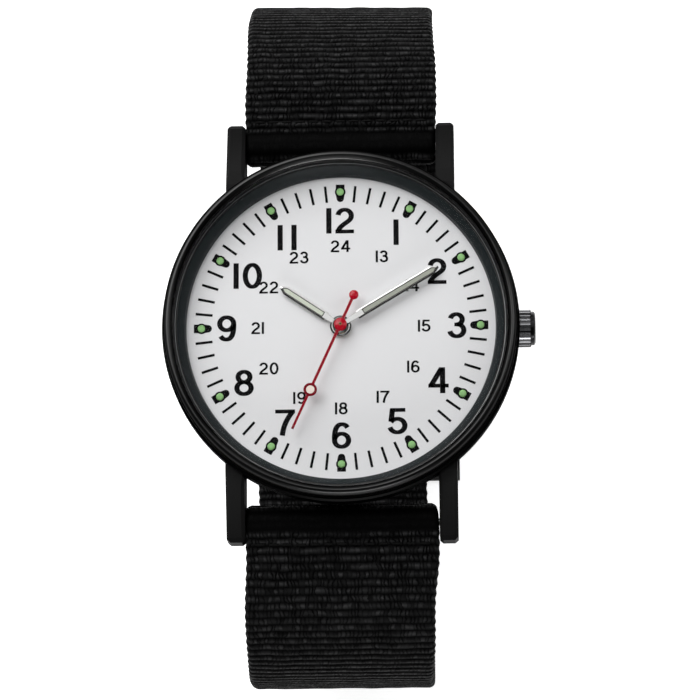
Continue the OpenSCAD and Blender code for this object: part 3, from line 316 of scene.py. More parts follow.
PAINTS = {name: moulded(name, *values) for name, *values in (
    # name, colour, gloss, mottle, shine, grain, scale
    ("dial_white", (0.76, 0.762, 0.772), 0.6, 0.012, 0.2, 0.001),
    ("seam_dark", (0.012, 0.012, 0.011), 0.7, 0.3, 0.1),
    ("dial_ink", (0.003, 0.003, 0.0035), 0.7, 0.25, 0.05),
    ("slate_ring", (0.0125, 0.0165, 0.0180), 0.36, 0.3, 0.1),
    ("black_rubber", (0.003, 0.003, 0.003), 0.4, 0.3, 0.3),
    ("green_glow", (0.25, 0.50, 0.18), 0.6, 0.3, 0.5, 0.01),
    ("hand_glow", (0.60, 0.64, 0.54), 0.75, 0.16, 0.5, 0.01, 5000),
    ("minute_glow", (0.36, 0.37, 0.32), 0.75, 0.22, 0.5, 0.01, 5000),
    ("cream_glow", (0.80, 0.70, 0.62), 0.75, 0.1, 0.5, 0.01),
    ("red_lacquer", (0.42, 0.002, 0.014), 0.18, 0.05, 0.3),
    ("rivet_gold", (0.50, 0.20, 0.09), 0.4, 0.1, 0.1),
    ("red_shade", (0.17, 0.001, 0.008), 0.4, 0.05, 0.08),
    ("holder_white", (0.62, 0.62, 0.60), 0.5, 0.04),
    ("plate_dark", (0.035, 0.038, 0.045), 0.42, 0.2),
    ("resin_green", (0.02, 0.12, 0.07), 0.35, 0.3, 0.5, 0.003, 1200),
    ("chip_black", (0.015, 0.015, 0.016), 0.4, 0.2),
    ("melted_nylon", (0.006, 0.006, 0.006), 0.3, 0.4, 0.5, 0.02),
    ("black_thread", (0.006, 0.006, 0.006), 0.6, 0.3, 0.03, 0.02, 9000),
)}
glass = clear_glass("watch_glass")
copper = wound_copper("wound_copper", 0.07)
print("finishes so far:", len(bpy.data.materials))

# %% [markdown]
# ## The webbing
#
# The strap is black nylon with thick cross ribs. Each rib is a row of small beads, where the
# lengthwise yarns pass over it. The ribs are large enough to shape in the mesh. The beads and
# fibres come from the shader, which reads the webbing's own UV map, in millimetres along and
# across, so that the weave bends with the strap.

# %% Woven nylon
RIB = 0.84
YARN = 0.44
FOLD_AT = 240 * RIB


def woven(name):
    """Rows of beads: a row for each rib, shifted by a noise of the row's number. A bead's height
    is 1 - |v|^2 over the rib, less |u|^3 towards its neighbours in the row. Three dice, thrown
    for each cell of row and column, say how far it merges, how high it stands, and how bright
    its painted glint is. The colour is painted light and shade: light on the raised beads, dark
    between them, and nearly black close to the spring bar, where the ribs also flatten."""
    f = Finish(name)
    point = f.node("UVMap", {"uv_map": "weave"})
    along, across = f.split(point)[:2]
    ribs = along / RIB + (f.noise(point, 0.5) - 0.5) * 0.5
    row = ribs.floor()
    shift = f.node("TexWhiteNoise", {"noise_dimensions": "1D"}, row, out="Value")
    yarns = across / YARN + (f.noise(point, 0.9) - 0.5) * 2.2 + shift * 5
    cell = f.node("CombineXYZ", None, row, yarns.floor())
    dice = f.node("TexWhiteNoise", {"noise_dimensions": "2D"}, cell, out="Color")
    merge, stand, shine = f.split(dice)
    patch = f.noise(f.stretched(point, 0.9, 0.45, 1), 1.0, 3.0, 0.6)
    bead = 1 - yarns.fold() ** 3 * merge
    valley = 1 - ribs.fold() ** 1.4 * (0.6 + stand * 0.4)
    # painted shade: near the spring bar the colour falls to 0.04, while the ribs flatten
    tight_and_shaded = f.ramp((along - FOLD_AT).size(), 0.9, 1.5, 0.04, 1.0)
    fibres = f.noise(f.stretched(point, 1.5, 14, 1), 1.0, 3.0, 0.7)
    rise = bead * valley * (0.45 + stand * 0.55)
    height = rise * tight_and_shaded + fibres * 0.1
    # painted glint: each bead's brightness from its shine die and a broad patch
    painted_glint = (0.45 + shine * 0.75) * (patch + 0.5)
    # painted light and shade: the colour follows the bead height, light on top, dark between
    tone = f.tones(rise ** 1.9 * tight_and_shaded * painted_glint * (0.4 + fibres * 1.2), (0.0003, 0.0003, 0.00035),
                   (0.042, 0.042, 0.043))
    return f.close(Base_Color=tone, Roughness=0.62 - rise * 0.15, Specular_IOR_Level=0.03,
                   Normal=f.bump(height, 0.5))


webbing = woven("webbing")
print("webbing: ribs every", RIB, "mm, yarns every", YARN, "mm")

# %% [markdown]
# ## Meshes from arrays
#
# Every new piece below is either a grid of points, swept or turned, or a stack of outlines
# joined one to the next. numpy works the points out as whole arrays, and one helper turns them
# into a mesh. Doubles are welded and faces turned outwards before a piece gets its finish.

# %% Helpers that build and settle a piece


def make_mesh(name, points, faces, uv=None):
    """Mesh from points (n, 3) in mm and faces of point numbers; uv (n, 2) is given per point."""
    mesh = bpy.data.meshes.new(name)
    mesh.from_pydata((np.asarray(points, float) * MM).tolist(), [], faces)
    if uv is not None:
        corner = np.zeros(len(mesh.loops), int)
        mesh.loops.foreach_get("vertex_index", corner)
        layer = mesh.uv_layers.new(name="weave")
        layer.data.foreach_set("uv", np.asarray(uv, np.float32)[corner].ravel())
    piece = bpy.data.objects.new(name, mesh)
    bpy.context.scene.collection.objects.link(piece)
    return piece


def quads(rows, columns, loop=False, first=0):
    """Faces of a grid of rows x columns points, closed over the columns and, if loop, the rows."""
    i = np.arange(rows if loop else rows - 1)[:, None]
    j = np.arange(columns)[None, :]
    i2, j2 = (i + 1) % rows, (j + 1) % columns
    corners = [i * columns + j, i2 * columns + j, i2 * columns + j2, i * columns + j2]
    return (np.stack(np.broadcast_arrays(*corners), -1).reshape(-1, 4) + first).tolist()


def gather(name, stacks, closed=()):
    """One piece from several stacks of outlines (n, 3), each joined to the next one in its stack.
    The first and last are filled, or joined to each other in the stacks numbered in closed."""
    points, faces, first = [], [], 0
    for which, loops in enumerate(stacks):
        k, n = len(loops), len(loops[0])
        faces += quads(k, n, which in closed, first)
        if which not in closed:
            last = first + (k - 1) * n
            faces += [list(range(first + n - 1, first - 1, -1)), list(range(last, last + n))]
        points += list(loops)
        first += k * n
    return make_mesh(name, np.concatenate(points), faces)


def settle(piece, finish, body, slot, *nodes, smooth=None, weld=True):
    """Welds, turns faces outwards, gives the finish, ties to body and hides the nodes. slot is not
    used.
    """
    work = bmesh.new()
    work.from_mesh(piece.data)
    if weld:
        bmesh.ops.remove_doubles(work, verts=work.verts, dist=1e-6)
    bmesh.ops.recalc_face_normals(work, faces=work.faces)
    work.to_mesh(piece.data)
    work.free()
    piece.data.materials.append(finish)
    if smooth is not None:
        piece.data.shade_smooth()
        piece.data.set_sharp_from_angle(angle=math.radians(smooth))
    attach(piece, body)
    if nodes:
        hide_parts(*nodes)


def lift(outline, z):
    """A flat outline (n, 2) raised to height z."""
    outline = np.asarray(outline, float)
    return np.column_stack([outline, np.full(len(outline), float(z))])


def turn(points, degrees):
    """Points turned about the z axis, anticlockwise."""
    a = math.radians(degrees)
    spin = np.array([[math.cos(a), math.sin(a), 0], [-math.sin(a), math.cos(a), 0], [0, 0, 1]])
    return points @ spin[: points.shape[1], : points.shape[1]]


def circle(radius, n=48, centre=(0, 0)):
    a = np.linspace(0, 2 * np.pi, n, endpoint=False)
    return np.column_stack([centre[0] + radius * np.cos(a), centre[1] + radius * np.sin(a)])


def lathe(name, profile, n=192, shift=(0, 0, 0)):
    """Closed profile of (radius, height) turned round the z axis in n steps, then shifted."""
    profile = np.asarray(profile, float)
    a = np.linspace(0, 2 * np.pi, n, endpoint=False)[:, None]
    r, h = profile[None, :, 0], profile[None, :, 1] + 0 * a
    points = np.stack([r * np.cos(a), r * np.sin(a), h], -1).reshape(-1, 3)
    return make_mesh(name, points + shift, quads(n, len(profile), loop=True))


print("mesh helpers ready")

# %% [markdown]
# ## Numbers on the dial
#
# The dial has twelve bold numbers without serifs, and a smaller ring of 13 to 24 inside. A font
# could draw them, but this letter has its own proportions: the 1 is a bare bar, and sideways
# strokes are thinner than upright ones. So each digit is a few pen strokes along arcs and
# lines, with a pen that is wider when it moves up or down.

# %% Pen strokes for the digits
DIAL_TOP, INK_T = 5.4, 0.018


def arc(cx, cy, rx, ry, start, end, n=22):
    """Points of an ellipse round (cx, cy) from start to end degrees."""
    a = np.radians(np.linspace(start, end, n))
    return np.column_stack([cx + rx * np.cos(a), cy + ry * np.sin(a)])


def sweep_curve(a, b, c, d, n=14):
    """Cubic curve from a to d, pulled towards b and c."""
    t = np.linspace(0, 1, n)[:, None]
    a, b, c, d = (np.array(p, float) for p in (a, b, c, d))
    return (1 - t) ** 3 * a + 3 * (1 - t) ** 2 * t * b + 3 * (1 - t) * t ** 2 * c + t ** 3 * d


SIX = [arc(0.37, 0.315, 0.265, 0.25, 0, 360, 40),
       np.vstack([arc(0.385, 0.68, 0.24, 0.25, 28, 90, 8),
                  sweep_curve((0.385, 0.93), (0.16, 0.93), (0.095, 0.66), (0.105, 0.34))])]
DIGITS = {
    "0": [arc(0.37, 0.5, 0.27, 0.43, 0, 360, 44)],
    "1": [[[0.1, 0.0], [0.1, 1.0]]],
    "2": [np.vstack([arc(0.355, 0.69, 0.255, 0.24, 172, -12, 24),
                     sweep_curve((0.605, 0.64), (0.58, 0.44), (0.16, 0.36), (0.10, 0.06))]),
          [[0.0, 0.07], [0.71, 0.07]]],
    "3": [arc(0.345, 0.725, 0.225, 0.205, 168, -88, 26),
          arc(0.36, 0.305, 0.265, 0.235, 92, -172, 28),
          [[0.27, 0.53], [0.38, 0.53]]],
    "4": [[[0.54, 0.0], [0.54, 1.0]], [[0.0, 0.29], [0.77, 0.29]],
          [[0.085, 0.27], [0.50, 0.96]]],
    "5": [[[0.10, 0.93], [0.66, 0.93]], [[0.175, 0.98], [0.115, 0.48]],
          arc(0.35, 0.33, 0.285, 0.26, 148, -166, 30)],
    "6": SIX,
    "7": [[[0.0, 0.93], [0.75, 0.93]],
          sweep_curve((0.66, 0.92), (0.47, 0.68), (0.31, 0.40), (0.27, 0.0))],
    "8": [arc(0.365, 0.73, 0.225, 0.20, 0, 360, 36), arc(0.365, 0.30, 0.27, 0.23, 0, 360, 40)],
    "9": [np.array([0.74, 1.0]) - stroke for stroke in SIX],
}
WIDTHS = {"1": 0.2, "4": 0.77, "7": 0.75}


def pen(line, upright, level):
    """Outlines across a pen stroke: width runs from level to upright with the stroke's slope."""
    if np.allclose(line[0], line[-1]):
        step = np.roll(line[:-1], -1, 0) - np.roll(line[:-1], 1, 0)
        step = np.vstack([step, step[:1]])
    else:
        step = np.gradient(line, axis=0)
    step = step / np.linalg.norm(step, axis=1, keepdims=True)
    half = (level + (upright - level) * np.abs(step[:, 1:])) / 2
    side = np.column_stack([-step[:, 1], step[:, 0]]) * half
    return np.stack([lift(line + side * way, DIAL_TOP + up)
                     for way, up in ((1, 0), (1, INK_T), (-1, INK_T), (-1, 0))], 1)


def number(text, height, centre, upright, level, gap):
    """Strokes of a number, centred on a point of the dial."""
    widths = [WIDTHS.get(c, 0.73) for c in text]
    x = -(sum(widths) + gap * (len(text) - 1)) / 2
    strokes = []
    for c, w in zip(text, widths):
        strokes += [pen((np.array(line) + [x, -0.5]) * height + centre, upright * height,
                        level * height) for line in DIGITS[c]]
        x += w + gap
    return strokes


def on_dial(radius, hours):
    """Point at a radius from the centre, in the direction of an hour."""
    a = math.radians(hours * 30)
    return np.array([radius * math.sin(a), radius * math.cos(a)])


hour_numbers, day_numbers = [], []
for hour in range(1, 13):
    reach = {3: 12.2, 9: 12.05, 10: 11.35, 11: 11.3, 12: 11.55, 6: 11.65}.get(hour, 11.78)
    gap = 0.33 if hour == 11 else 0.15
    hour_numbers += number(str(hour), 2.77, on_dial(reach, hour), 0.2, 0.145, gap)
    day_numbers += number(str(hour + 12), 1.28, on_dial(8.76, hour), 0.185, 0.15, 0.12)
settle(gather("hour_numbers", hour_numbers), PAINTS["dial_ink"], "watch", "black_coating")
settle(gather("day_numbers", day_numbers), PAINTS["dial_ink"], "watch", "black_coating")
print("pen strokes:", len(hour_numbers) + len(day_numbers))

# %% [markdown]
# ## Minute track
#
# Forty-eight thin strokes mark the minutes. Each hour has a black bullet instead, square
# towards the rim and round towards the centre, with a domed dot of glowing paint on it. An
# image on the dial could hold them, but real ink is a few hundredths of a millimetre thick, so
# these outlines are raised by that much.

# %% Minute strokes and bullets
DOT_AT, DOT_R, HALO_R = 14.7, 0.39, 0.57
MARK_IN, STROKE_OUT, BULLET_OUT = 13.6, 15.4, 15.5


def bullet(w):
    """Outline along +y, 2w wide: square at the outer end, a half circle at the inner end, and
    bulged out to the radius HALO_R round the glowing dot."""
    a = math.degrees(math.acos(w / HALO_R))
    right, left = (arc(0, DOT_AT, HALO_R, HALO_R, at - a, at + a, 12) for at in (0, 180))
    end = arc(0, MARK_IN + w * 0.85, w * 0.85, w * 0.85, 180, 360, 16)
    return np.vstack([[[w, BULLET_OUT], [-w, BULLET_OUT]], left, end, right])


track = []
for minute in range(60):
    if minute % 5:
        w = 0.135
        outline = np.array([[w, STROKE_OUT], [-w, STROKE_OUT], [-w, MARK_IN], [w, MARK_IN]])
    else:
        outline = bullet(0.46)
    flat = turn(outline, -minute * 6)
    track.append([lift(flat, DIAL_TOP), lift(flat, DIAL_TOP + INK_T)])
settle(gather("minute_track", track), PAINTS["dial_ink"], "watch", "black_coating")
dome = ((1, 0.0), (1, 0.06), (0.92, 0.1), (0.7, 0.13), (0.35, 0.145))
dots = [[lift(circle(DOT_R * share, 32, on_dial(DOT_AT, hour)), DIAL_TOP + h) for share, h in dome]
        for hour in range(12)]
settle(gather("glowing_dots", dots), PAINTS["green_glow"], "watch", "green_lume", "dial_lume_dots",
       smooth=60)
print("marks:", len(track))

# %% [markdown]
# ## Rings round the glass
#
# Three rings lie between the dial and the flank: the slate ring that climbs from the dial, the
# rubber that holds the glass, and the bezel with its rounded crest. Light draws each edge that
# was broken on the lathe as a line. The solids have plain cones, and a bevel modifier would
# round all edges alike, so the rings are turned again from finer profiles. The two thinnest
# lines are painted highlights: rings of their own in a lighter metal, one on the bezel's inner
# edge and one by the glass.

# %% Turned rings
crest = arc(17.98, 7.75, 0.61, 0.85, 0, 90, 16)
bezel_profile = np.vstack([
    [[17.67, 6.4], [18.41, 6.4], [18.52, 6.55], [18.59, 6.9]], crest, [[17.93, 8.57],
     [17.58, 8.33], [17.52, 8.26], [17.52, 7.2], [17.16, 7.2], [17.16, 6.92], [17.67, 6.92]]])
gasket_profile = np.vstack([[[17.18, 7.2], [17.5, 7.2]], arc(17.47, 8.05, 0.03, 0.06, 0, 180, 8),
                            [[17.43, 7.4], [17.4, 7.31], [17.33, 7.27], [17.18, 7.26]]])
slate_profile = [[16.28, 5.4], [16.98, 5.4], [16.98, 6.85], [17.14, 6.95], [17.14, 7.19],
                 [17.1, 7.19], [17.06, 7.16], [16.44, 6.3], [16.42, 6.27], [16.405, 6.23],
                 [16.29, 5.55], [16.28, 5.5]]
# painted highlights: thin lighter rings on the bezel's inner edge and by the glass
edge_highlight_profile = [[17.51, 8.27], [17.575, 8.345], [17.59, 8.33], [17.525, 8.25]]
line_profile = arc(17.33, 7.285, 0.032, 0.032, 0, 330, 12)
for name, profile, finish, slot, smooth, *node in (
    ("bezel_turned", bezel_profile, bezel_black, "black_coating", 40, "bezel"),
    ("gasket_round", gasket_profile, PAINTS["black_rubber"], "seal_rubber", 40, "crystal_gasket"),
    ("slate_turned", slate_profile, PAINTS["slate_ring"], "rehaut_paint", 25, "rehaut_ring"),
    ("bezel_edge", edge_highlight_profile, dim_edge_highlight, "black_coating", 30),
    ("glass_edge", line_profile, bright_edge_highlight, "black_coating", 80),
):
    settle(lathe(name, profile), finish, "watch", slot, *node, smooth=smooth)
print("rings:", len(bezel_profile), len(gasket_profile), len(slate_profile), "points each")

# %% [markdown]
# ## Hands
#
# The hour and minute hands are steel batons with a narrow neck, a pointed tip and a window of
# glowing paint. Their frame is folded like a roof, which makes one side bright and the other
# dark. A bevel modifier on a flat plate would round the ridge, so the frame is built from
# outlines: foot, outer edge, ridge, window edge, and down again. A dark band of painted shadow
# runs round each window. The second hand keeps its solid and gets a ridge and a ring in a
# darker red, which is painted shade, a dark pin of painted shade and a rivet on top.

# %% Faceted hands
SECOND_Z, SECOND_AT, RING_AT = 6.65, 204.5, 7.67
HAND_W, HAND_T, FRAME_W = 0.94, 0.15, 0.21
HANDS = (  # body, node, z, degrees clockwise from 12, length, window, shoulder, hub, bore
    ("hours_train", "hour_hand", 5.85, 304.1, 7.65, 2.2, 1.85, 1.12, 0.77),
    ("minutes_train", "minute_hand", 6.25, 59.1, 12.0, 2.8, 2.05, 0.85, 0.42),
)


def baton(length, start, inset):
    """Outline of the baton from start to length, its sides and tip drawn in by inset."""
    w = HAND_W / 2 - inset
    tip = max(0.12 - inset, 0.03)
    return np.array([[-w, start], [-w, length - 0.75], [-tip, length - inset * 1.5],
                     [tip, length - inset * 1.5], [w, length - 0.75], [w, start]])


def hand(name, z, degrees, length, window, shoulder, hub, bore):
    """Baton frame, neck and pierced hub, turned clockwise by degrees from 12."""
    top, join = HAND_T, shoulder + 0.1
    frame_loops = [lift(baton(length, start, inset), z + h) for start, inset, h in (
        (shoulder, 0.0, 0.0), (shoulder, 0.0, 0.065), (shoulder + 0.05, 0.165, top),
        (window - 0.04, FRAME_W - 0.03, top), (window, FRAME_W, 0.08), (window, FRAME_W, 0.0))]
    neck_loops = [lift([[-w, 0.6], [w, 0.6], [w + 0.09, join], [-w - 0.09, join]], z + h)
                  for w, h in ((0.24, 0.0), (0.24, 0.05), (0.19, top - 0.01))]
    hub_loops = [lift(circle(r), z + h) for r, h in (
        (bore, 0), (hub, 0), (hub, 0.03), (hub - 0.17, top + 0.01), (bore + 0.08, top + 0.01),
        (bore, top - 0.05))]
    return gather(name, [[turn(loop, -degrees) for loop in loops]
                         for loops in (frame_loops, neck_loops, hub_loops)], closed=(0, 2))


hand_steel = brushed("hand_steel", (0.62, 0.62, 0.61), gloss=0.13)
batons = [hand(node + "_faceted", *sizes) for body, node, *sizes in HANDS]
for piece, (body, node, *_) in zip(batons, HANDS):
    settle(piece, hand_steel, body, "hand_steel", node)
# painted shadow: a dark band round each window of glowing paint
for body, node, z, degrees, length, window, *_ in HANDS:
    outer, inner = (turn(baton(length, window + d, FRAME_W + d), -degrees) for d in (-0.03, 0.04))
    loops = [lift(edge, z + h) for edge, h in ((outer, 0.13), (outer, 0.16), (inner, 0.16),
                                               (inner, 0.13))]
    settle(gather(body + "_seam", [loops], closed=(0,)), PAINTS["seam_dark"], body, "hand_lume")
# The ridge and the ring wear a darker red than the lacquer: painted shade on the needle and ring.
needle = []
for start, end, wide in ((-3.2, -0.5, 0.155), (0.5, 7.15, 0.155), (8.2, 12.25, 0.14)):
    foot, ridge = (turn(np.array([[-w, start], [w, start], [w * thin, end], [-w * thin, end]]),
                        -SECOND_AT) for w, thin in ((wide, 0.95), (0.03, 1.0)))
    needle.append([lift(foot, SECOND_Z + 0.02), lift(foot, SECOND_Z + 0.08),
                   lift(ridge, SECOND_Z + 0.14)])
settle(gather("second_hand_ridge", needle), PAINTS["red_shade"], "seconds_train", "red_paint")
ring_at = turn(np.array([[0.0, RING_AT]]), -SECOND_AT)[0]
ring_profile = [(r, SECOND_Z + h) for r, h in (
    (0.44, 0.02), (0.71, 0.02), (0.71, 0.12), (0.62, 0.17), (0.54, 0.17), (0.44, 0.12))]
pin_profile = [(0.0, 6.95), (0.115, 6.95), (0.105, 6.985), (0.0, 6.99)]
rivet_profile = [(0.11, 6.94), (0.125, 6.975), (0.17, 6.975), (0.19, 6.9), (0.11, 6.9)]
# the pin is a dark disc of painted shade in the middle of the cap
for name, profile, n, shift, paint, slot in (
    ("ring", ring_profile, 40, (*ring_at, 0), "red_shade", "red_paint"),
    ("pin", pin_profile, 24, (0, 0, 0), "seam_dark", "hand_steel"),
    ("rivet", rivet_profile, 32, (0, 0, 0), "rivet_gold", "hand_steel"),
):
    settle(lathe("second_hand_" + name, profile, n, shift), PAINTS[paint], "seconds_train", slot)
print("faces of the hands:", [len(piece.data.polygons) for piece in batons])

# %% [markdown]
# ## The route of the strap
#
# The strap is closed as it would be round a wrist. Each half starts at a spring bar, turns over
# the shoulder of the wrist and runs down and under it. A curve could be bent by hand, but the
# solids have a chain of bends, each with one radius, so the middle line walks the same chain.
# For every distance it gives a place and a heading, and a surface is laid on both sides.

# %% Middle lines of the two halves
BAR_Y, BAR_Z, TUBE_R, SLACK = 20.41, 2.4, 0.75, 0.05
STRAP_T, STRAP_W, LAYER_GAP = 1.15, 20.0, 0.35
OUTER_Z, BUCKLE_Y, HEEL_R, LEAN = -47.0, 7.0, 16.0, 15.0
FOLD_MID = TUBE_R + SLACK + STRAP_T / 2
INNER_Z = OUTER_Z + STRAP_T + LAYER_GAP
TAIL_R = HEEL_R + STRAP_T + LAYER_GAP


def walk(start, runs, step=RIB / 5):
    """Poses (y, z, heading in degrees) along runs of (radius, degrees) or (length, 0): on a bend
    the heading falls by arc length over radius, and the place is its integral."""
    poses = [np.array([start], float)]
    for size, bend in runs:
        y, z, h = poses[-1][-1]
        length = size * math.radians(bend) if bend else size
        s = np.linspace(0, length, max(int(length / step), 2))[1:]
        a = math.radians(h)
        if bend:
            g = a - s / size
            y, z = y + size * (math.sin(a) - np.sin(g)), z + size * (np.cos(g) - math.cos(a))
            h = np.degrees(g)
        else:
            y, z, h = y + s * math.cos(a), z + s * math.sin(a), np.full(len(s), h)
        poses.append(np.column_stack([y, z, h]))
    return np.concatenate(poses)


def leave(heading):
    """Pose on the top of the fold round a spring bar."""
    a = math.radians(heading)
    return BAR_Y - FOLD_MID * math.sin(a), BAR_Z + FOLD_MID * math.cos(a), heading


def round_bar(poses, flap, side=1):
    """Poses with a flap and a fold in front of them, both on one side of the line (1: right).
    The fold goes round a centre FOLD_MID away, and the flap's end lies against the line."""

    def beside(heading):
        h = np.radians(heading)
        return side * np.stack([np.sin(h), -np.cos(h)], -1)

    def ahead(heading):
        return np.array([math.cos(math.radians(heading)), math.sin(math.radians(heading))])

    h0 = poses[0][2]
    bar = poses[0][:2] + FOLD_MID * beside(h0)
    turned = h0 + side * np.linspace(202, 0, 60)
    over = bar - FOLD_MID * beside(turned)
    end = poses[np.searchsorted(distances(poses), flap)]
    start = end[:2] + STRAP_T * 1.04 * beside(end[2])
    under = sweep_curve(start, start - 1.8 * ahead(end[2]), over[0] - 1.6 * ahead(turned[0]),
                        over[0], 30)
    line = np.vstack([under[:-1], over])
    step = np.gradient(line, axis=0)
    heading = np.degrees(np.unwrap(np.arctan2(step[:, 1], step[:, 0])))
    heading += 360 * round((h0 - heading[-1]) / 360)
    heading[-1] = h0
    return np.vstack([np.column_stack([line, heading])[:-1], poses])


def distances(line):
    """Distance of each pose from the first, along the line."""
    return np.concatenate([[0], np.cumsum(np.hypot(*np.diff(line[:, :2], axis=0).T))])


def reversed_line(line):
    """The same line walked the other way."""
    return line[::-1] + [0, 0, 180]


def end_of(start, runs):
    """Last pose of a walk, and the walk's length."""
    line = walk(start, runs)
    return *line[-1], distances(line)[-1]


up_start, low_start = leave(-3.5), leave(-4)
up_runs = [(22.1, 73), (33.0, 13.5 + LEAN)]
knee = end_of(up_start, up_runs)
drop = knee[1] - INNER_Z - HEEL_R * (1 - math.sin(math.radians(LEAN)))
up_runs += [(drop / math.cos(math.radians(LEAN)), 0), (HEEL_R, 90 - LEAN)]
heel = end_of(up_start, up_runs)
up_line = walk(up_start, up_runs + [(heel[0] - BUCKLE_Y, 0)])
low_runs = [(15.15, 86), (60.0, LEAN)]
knee = end_of(low_start, low_runs)
low_runs += [((knee[1] - OUTER_Z) / (1 - math.sin(math.radians(LEAN))), 90 - LEAN)]
sole = end_of(low_start, low_runs)
tail_bend = (TAIL_R, math.degrees(16 / TAIL_R))
low_line = walk(low_start, low_runs + [(sole[0] + heel[0], 0), tail_bend])
print("halves: %.1f and %.1f mm" % (distances(up_line)[-1], distances(low_line)[-1]))

# %% [markdown]
# ## The webbing itself
#
# The surface is a rounded flat section carried along the middle line. Its broad sides rise
# over each rib, its edges are scalloped, and its width wanders, because webbing is never quite
# straight. Round the spring bar it is pulled tight, so the ribs fade out there. The long half
# ends in a round tail: its width there follows an ellipse.

# %% Ribbed surface along a line


def flat_section(width, thickness, n=40):
    """Closed outline of a flat band with round edges: across, up, and which side faces out."""
    r = thickness / 2
    x = np.linspace(width / 2 - r, -width / 2 + r, n)
    a = np.radians(np.linspace(90, 270, 7))[1:-1]
    left = np.column_stack([-width / 2 + r + r * np.cos(a), r * np.sin(a), 0 * a])
    top = np.column_stack([x, np.full(n, r), np.ones(n)])
    low = np.column_stack([-x, np.full(n, -r), -np.ones(n)])
    return np.vstack([top, left, low, left * [-1, -1, 1]])


def follow(plan, s):
    """Columns of a plan (rows of s and values) read at distances s, with the corners rounded."""
    plan = np.array(plan, float)
    soft = np.hanning(27) / np.hanning(27).sum()
    grid = np.arange(-30, 220, 0.2)
    read = [np.interp(grid, plan[:, 0], plan[:, k]) for k in range(1, plan.shape[1])]
    return [np.interp(s, grid, np.convolve(np.pad(v, 13, "edge"), soft, "valid")) for v in read]


def webbing_strip(name, line, bar_at, plan, flip=1, twist=0.0, tail=0.0, seed=3):
    """Section carried along line (y, z, heading). Ribs are |sin| of the distance s from bar_at.
    The plan gives width, sideways shift and outward shift over s; twist lifts the edges by
    x * twist round s = 24. The last tail mm narrow to a round end."""
    s = distances(line) - bar_at
    h = np.radians(line[:, 2])
    out = np.column_stack([-np.sin(h), np.cos(h)])
    width, dx, up = (v[:, None] for v in follow(plan, s))
    section = flat_section(STRAP_W, STRAP_T - 0.06)
    calm = np.clip((np.abs(s) - 0.9) / 0.6, 0.05, 1)
    dice = np.random.default_rng(seed)

    def ripples(least, most):
        """Sum of nine waves over s and x, each with its own pitch, phase, slant and height."""
        waves = dice.uniform([1.2, 0, 0.3, 0, least], [5, 7, 2.5, 7, most], (9, 5))
        return sum(a * np.sin(s[:, None] / p + q + section[:, 0] * u + w)
                   for p, q, u, w, a in waves)

    ripple = ripples(0.005, 0.012)
    woven_s = s[:, None] + ripples(0.004, 0.014)
    rib = (np.abs(np.sin(np.pi * woven_s / RIB)) ** 0.7 - 0.6) * 0.11 * calm[:, None]
    side = np.sign(section[:, 0])
    edge = np.clip((np.abs(section[:, 0]) - 9.1) / 0.6, 0, 1) * side
    scallop = 0.05 * np.sin(2 * np.pi * s[:, None] / (RIB * 1.3) + side * 0.8) * calm[:, None]
    to_tip = (distances(line)[-1] - s - bar_at)[:, None]
    narrow = np.sqrt(1 - np.clip(1 - to_tip / tail, 0, 0.99) ** 2) / 0.97 if tail else 1.0
    across = (section[:, 0] + edge * (scallop + ripple)) * np.minimum(narrow, 1) * width
    across = across / STRAP_W + dx
    bell = np.exp(-(((s - 24) / 13) ** 2))[:, None]
    lift_up = section[:, 1] + section[:, 2] * (rib + ripple) + up + twist * section[:, 0] * bell
    y = line[:, 0, None] + out[:, 0, None] * lift_up
    z = line[:, 1, None] + out[:, 1, None] * lift_up
    points = np.stack([across, flip * y, z], -1).reshape(-1, 3)
    uv = np.stack([woven_s + FOLD_AT, across], -1).reshape(-1, 2)
    rows, columns = across.shape
    ends = [list(range(columns)), list(range(rows * columns - 1, (rows - 1) * columns - 1, -1))]
    return make_mesh(name, points, quads(rows, columns) + ends, uv)


def pose_on(line, bar_at, s):
    """Pose at distance s from the bar."""
    return [np.interp(s + bar_at, distances(line), line[:, k]) for k in range(3)]


up_full = round_bar(up_line, 5.0)
up_bar = distances(up_full)[len(up_full) - len(up_line)]
up_full = reversed_line(round_bar(reversed_line(up_full), 4.2, side=-1))
low_full = round_bar(low_line, 5.0)
low_bar = distances(low_full)[len(low_full) - len(low_line)]
up_far, low_far = heel[3] - 12, sole[3] + 8
UP_PLAN = [(0.5, 20.2, 0, 0), (2.5, 20.3, 0, 0), (5, 20.65, 0, 0), (10, 20.4, 0, 0),
           (18, 20.15, -0.3, 0), (30, 20, -0.3, 0), (up_far - 6, 20, -2.5, 0),
           (up_far + 1, 20, -2.5, 0), (up_far + 10.5, 20, 0, 0)]
LOW_PLAN = [(-5, 19.3, -0.42, 0), (-2.5, 19.8, -0.15, 0), (-0.5, 20.25, 0, 0), (4.2, 20.28, 0, 0),
            (8.5, 19.95, -0.42, 0.05), (15, 19.87, -0.5, 0.3), (21, 19.76, -0.75, 0.4),
            (30, 19.8, -0.8, 0.3), (45, 19.9, -1.0, 0), (low_far - 4, 20, -2.2, 0),
            (low_far + 5, 20, -2.2, 0), (low_far + 19, 20, 0, 0)]
strap_up = webbing_strip("strap_short_half", up_full, up_bar, UP_PLAN, twist=-0.016)
strap_low = webbing_strip("strap_long_half", low_full, low_bar, LOW_PLAN, flip=-1, tail=6.0,
                          seed=8)
print("far bends at %.1f and %.1f mm" % (up_far, low_far))
print("webbing faces:", len(strap_up.data.polygons), len(strap_low.data.polygons))

# %% [markdown]
# ## Holes for the buckle
#
# The buckle's tongue goes through a row of round holes, melted through the webbing with a hot
# punch, which leaves a hard shiny rim. A boolean cuts them, so that one can look through, and a
# low turned ring on each stands for the rim. The tongue sits in the third hole, and the row is
# measured from there.

